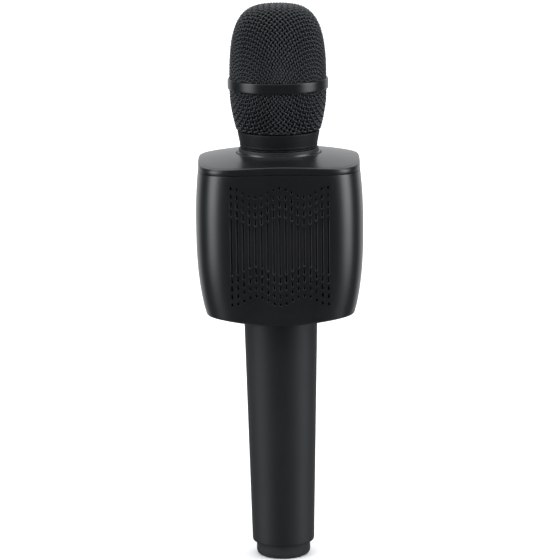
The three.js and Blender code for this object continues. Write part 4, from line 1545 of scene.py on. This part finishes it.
class Insides:
    """Finishes for the CAD nodes that keep their own shapes."""

    finishes: dict[str, Finish] = {
        "head_washer": RUBBER, "cap_gasket": RUBBER, "capsule_cradle": RUBBER, "speaker_surround": RUBBER,
        "capsule_stem": COMPONENT, "capsule_body": CAN, "capsule_cover": WIRE, "speaker_frame": STEEL,
        "speaker_magnet": FERRITE, "speaker_cone": PAPER, "speaker_gasket": FOAM, "button_board": BOARD,
        "main_board": BOARD, "power_switch": STEEL, "battery_carrier": COMPONENT, "battery_cell": SLEEVE,
        "battery_contact": STEEL, "contact_spring": STEEL, "capsule_lead": INSULATION, "speaker_lead": INSULATION,
        "battery_lead": INSULATION, "volume_pot": STEEL, "echo_pot": STEEL,
        **{f"speaker_screw_{i}": STEEL for i in range(1, 5)},
        **{f"{key.name}_switch": COMPONENT for key in KEYS_LAID_OUT},
    }

    def build(self) -> None:
        """Give each kept node its finish."""
        for name, finish in self.finishes.items():
            slots = frame["nodes"][name].material_slots
            for slot in slots:
                slot.material = finish.build()
            LOG.info("%s keeps its shape and is finished as %s", name, finish.name)


# ------------------------------------------------------------------ studio
@dataclass(frozen=True)
class CameraSizes:
    """Where the camera stands, in metres and degrees."""

    away: float = 1.310
    height: float = 0.411
    aside: float = -0.00017
    pitch: float = 11.834
    roll: float = -0.70
    lens: float = 178.56


@dataclass(frozen=True)
class SoftBox:
    """A large soft light.

    Attributes:
        name: The light's name.
        spot: Its place in metres.
        size: (width, height) in metres.
        power: Its power in watts.
    """

    name: str
    spot: tuple[float, float, float]
    size: Pair
    power: float


@dataclass(frozen=True)
class SidePanel:
    """A tall soft panel beside the object, which only glossy surfaces see.

    Attributes:
        middle: Bearing of its middle from straight ahead, in degrees.
        half: Half its width, in degrees.
        strength: How bright it is.
    """

    middle: float
    half: float
    strength: float


class Studio:
    """The camera, the floor, the sky and the lights."""

    panels = (SidePanel(-72.5, 14.0, 5.7), SidePanel(75.0, 14.5, 5.9))
    panel_blur = 8.0

    boxes = (
        SoftBox("left_softbox", (-1.1, -0.75, 0.75), (0.9, 1.1), 3.0),
        SoftBox("right_softbox", (1.2, -0.45, 0.75), (0.9, 1.1), 3.0),
        SoftBox("top_softbox", (0.0, 0.3, 1.7), (1.6, 1.2), 6.0),
        SoftBox("rear_softbox", (0.3, 1.5, 0.9), (1.4, 1.0), 5.0),
    )

    def __init__(self, sizes: CameraSizes) -> None:
        """Keep the camera's place."""
        self.s = sizes

    def camera(self) -> None:
        """Place the camera."""
        s = self.s
        data = bpy.data.cameras.new("camera")
        data.lens, data.sensor_width = s.lens, 36.0
        data.clip_start, data.clip_end = 0.05, 60.0
        obj = bpy.data.objects.new("camera", data)
        bpy.context.scene.collection.objects.link(obj)
        obj.location = (s.aside, -s.away, s.height)
        pitch = math.radians(s.pitch)
        aim = Vector((0.0, math.cos(pitch), -math.sin(pitch))).to_track_quat("-Z", "Z").to_matrix()
        obj.rotation_euler = (aim @ Matrix.Rotation(math.radians(s.roll), 3, "Z")).to_euler()
        bpy.context.scene.camera = obj
        bpy.context.scene.view_settings.view_transform = "Standard"

    def floor(self) -> None:
        """Lay a plain pale floor, which glossy surfaces don't see."""
        side = 14000.0
        corners = [(-side, -side, 0.0), (side, -side, 0.0), (side, side, 0.0), (-side, side, 0.0)]
        finish = SparkGrain("floor_paper", colour(0.90, 0.90, 0.90), colour(0.92, 0.92, 0.92), 0.9, 0.05,
                            grain=300.0, depth=1e-6, specular=0.0)
        floor = solid("floor", corners, [(0, 1, 2, 3)], finish)
        floor.visible_glossy = False

    def sky(self) -> None:
        """Light the room: pale behind, dim in front, with a tall soft panel at each side."""
        world = bpy.data.worlds.new("studio")
        world.use_nodes = True
        world.node_tree.nodes.clear()
        bpy.context.scene.world = world
        g = Graph(world.node_tree)
        way = g.vector("NORMALIZE", g.call("ShaderNodeTexCoord", None, None, "Generated"))
        x, y, z = g.split(way)
        rise = g.math("ARCSINE", z) * (180.0 / math.pi)
        bearing = g.math("ARCTAN2", x, y * -1.0) * (180.0 / math.pi)
        mirrored = 0.06 + g.span(y, 0.5, 0.95, 0.0, 0.95) * g.span(rise, -34.0, -8.0, 0.3, 1.0)
        for side in self.panels:
            off = g.math("ABSOLUTE", bearing - side.middle)
            panel = g.span(off, side.half - self.panel_blur, side.half + self.panel_blur, side.strength, 0.0)
            mirrored = mirrored + panel * g.span(rise, -27.0, 1.0, 0.1, 1.0) * g.span(rise, 38.0, 60.0, 1.0, 0.0)
        mirrored = mirrored + g.span(rise, 32.0, 62.0, 0.0, 2.0) + g.span(rise, -45.0, -8.0, 0.1, 0.0)
        scattered = g.span(rise, 20.0, 45.0, 0.1, 1.6)
        path = g.node("ShaderNodeLightPath")
        seen, diffuse = Socket(g, path.outputs["Is Camera Ray"]), Socket(g, path.outputs["Is Diffuse Ray"])
        light = mirrored + diffuse * (scattered - mirrored)
        strength = light + seen * (1.0 - light)
        sky = g.call("ShaderNodeBackground", None, {"Color": colour(0.97, 0.985, 1.0), "Strength": strength})
        g.node("ShaderNodeOutputWorld", None, {"Surface": sky})

    def lights(self) -> None:
        """Hang the soft lights, aimed at the middle of the microphone."""
        for box in self.boxes:
            data = bpy.data.lights.new(box.name, "AREA")
            data.shape, data.size, data.size_y, data.energy = "RECTANGLE", box.size[0], box.size[1], box.power
            obj = bpy.data.objects.new(box.name, data)
            bpy.context.scene.collection.objects.link(obj)
            obj.location = box.spot
            obj.visible_glossy = False
            aim = Vector((0.0, 0.0, 0.14)) - Vector(box.spot)
            obj.rotation_euler = aim.to_track_quat("-Z", "Y").to_euler()

    def build(self) -> None:
        """Make the studio."""
        self.camera()
        self.floor()
        self.sky()
        self.lights()


def main() -> None:
    """Build the studio, then the microphone."""
    logging.basicConfig(level=logging.INFO, format="%(name)s: %(message)s")
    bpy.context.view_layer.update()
    Studio(CameraSizes()).build()
    Head(HeadSizes(), Basket()).build()
    Housing(Barrel(), GrilleSizes(), NeckSizes(), RearSizes()).build()
    Controls(PanelSizes()).build()
    Handle(HandleSizes()).build()
    Insides().build()


if __name__ == "__main__":
    main()
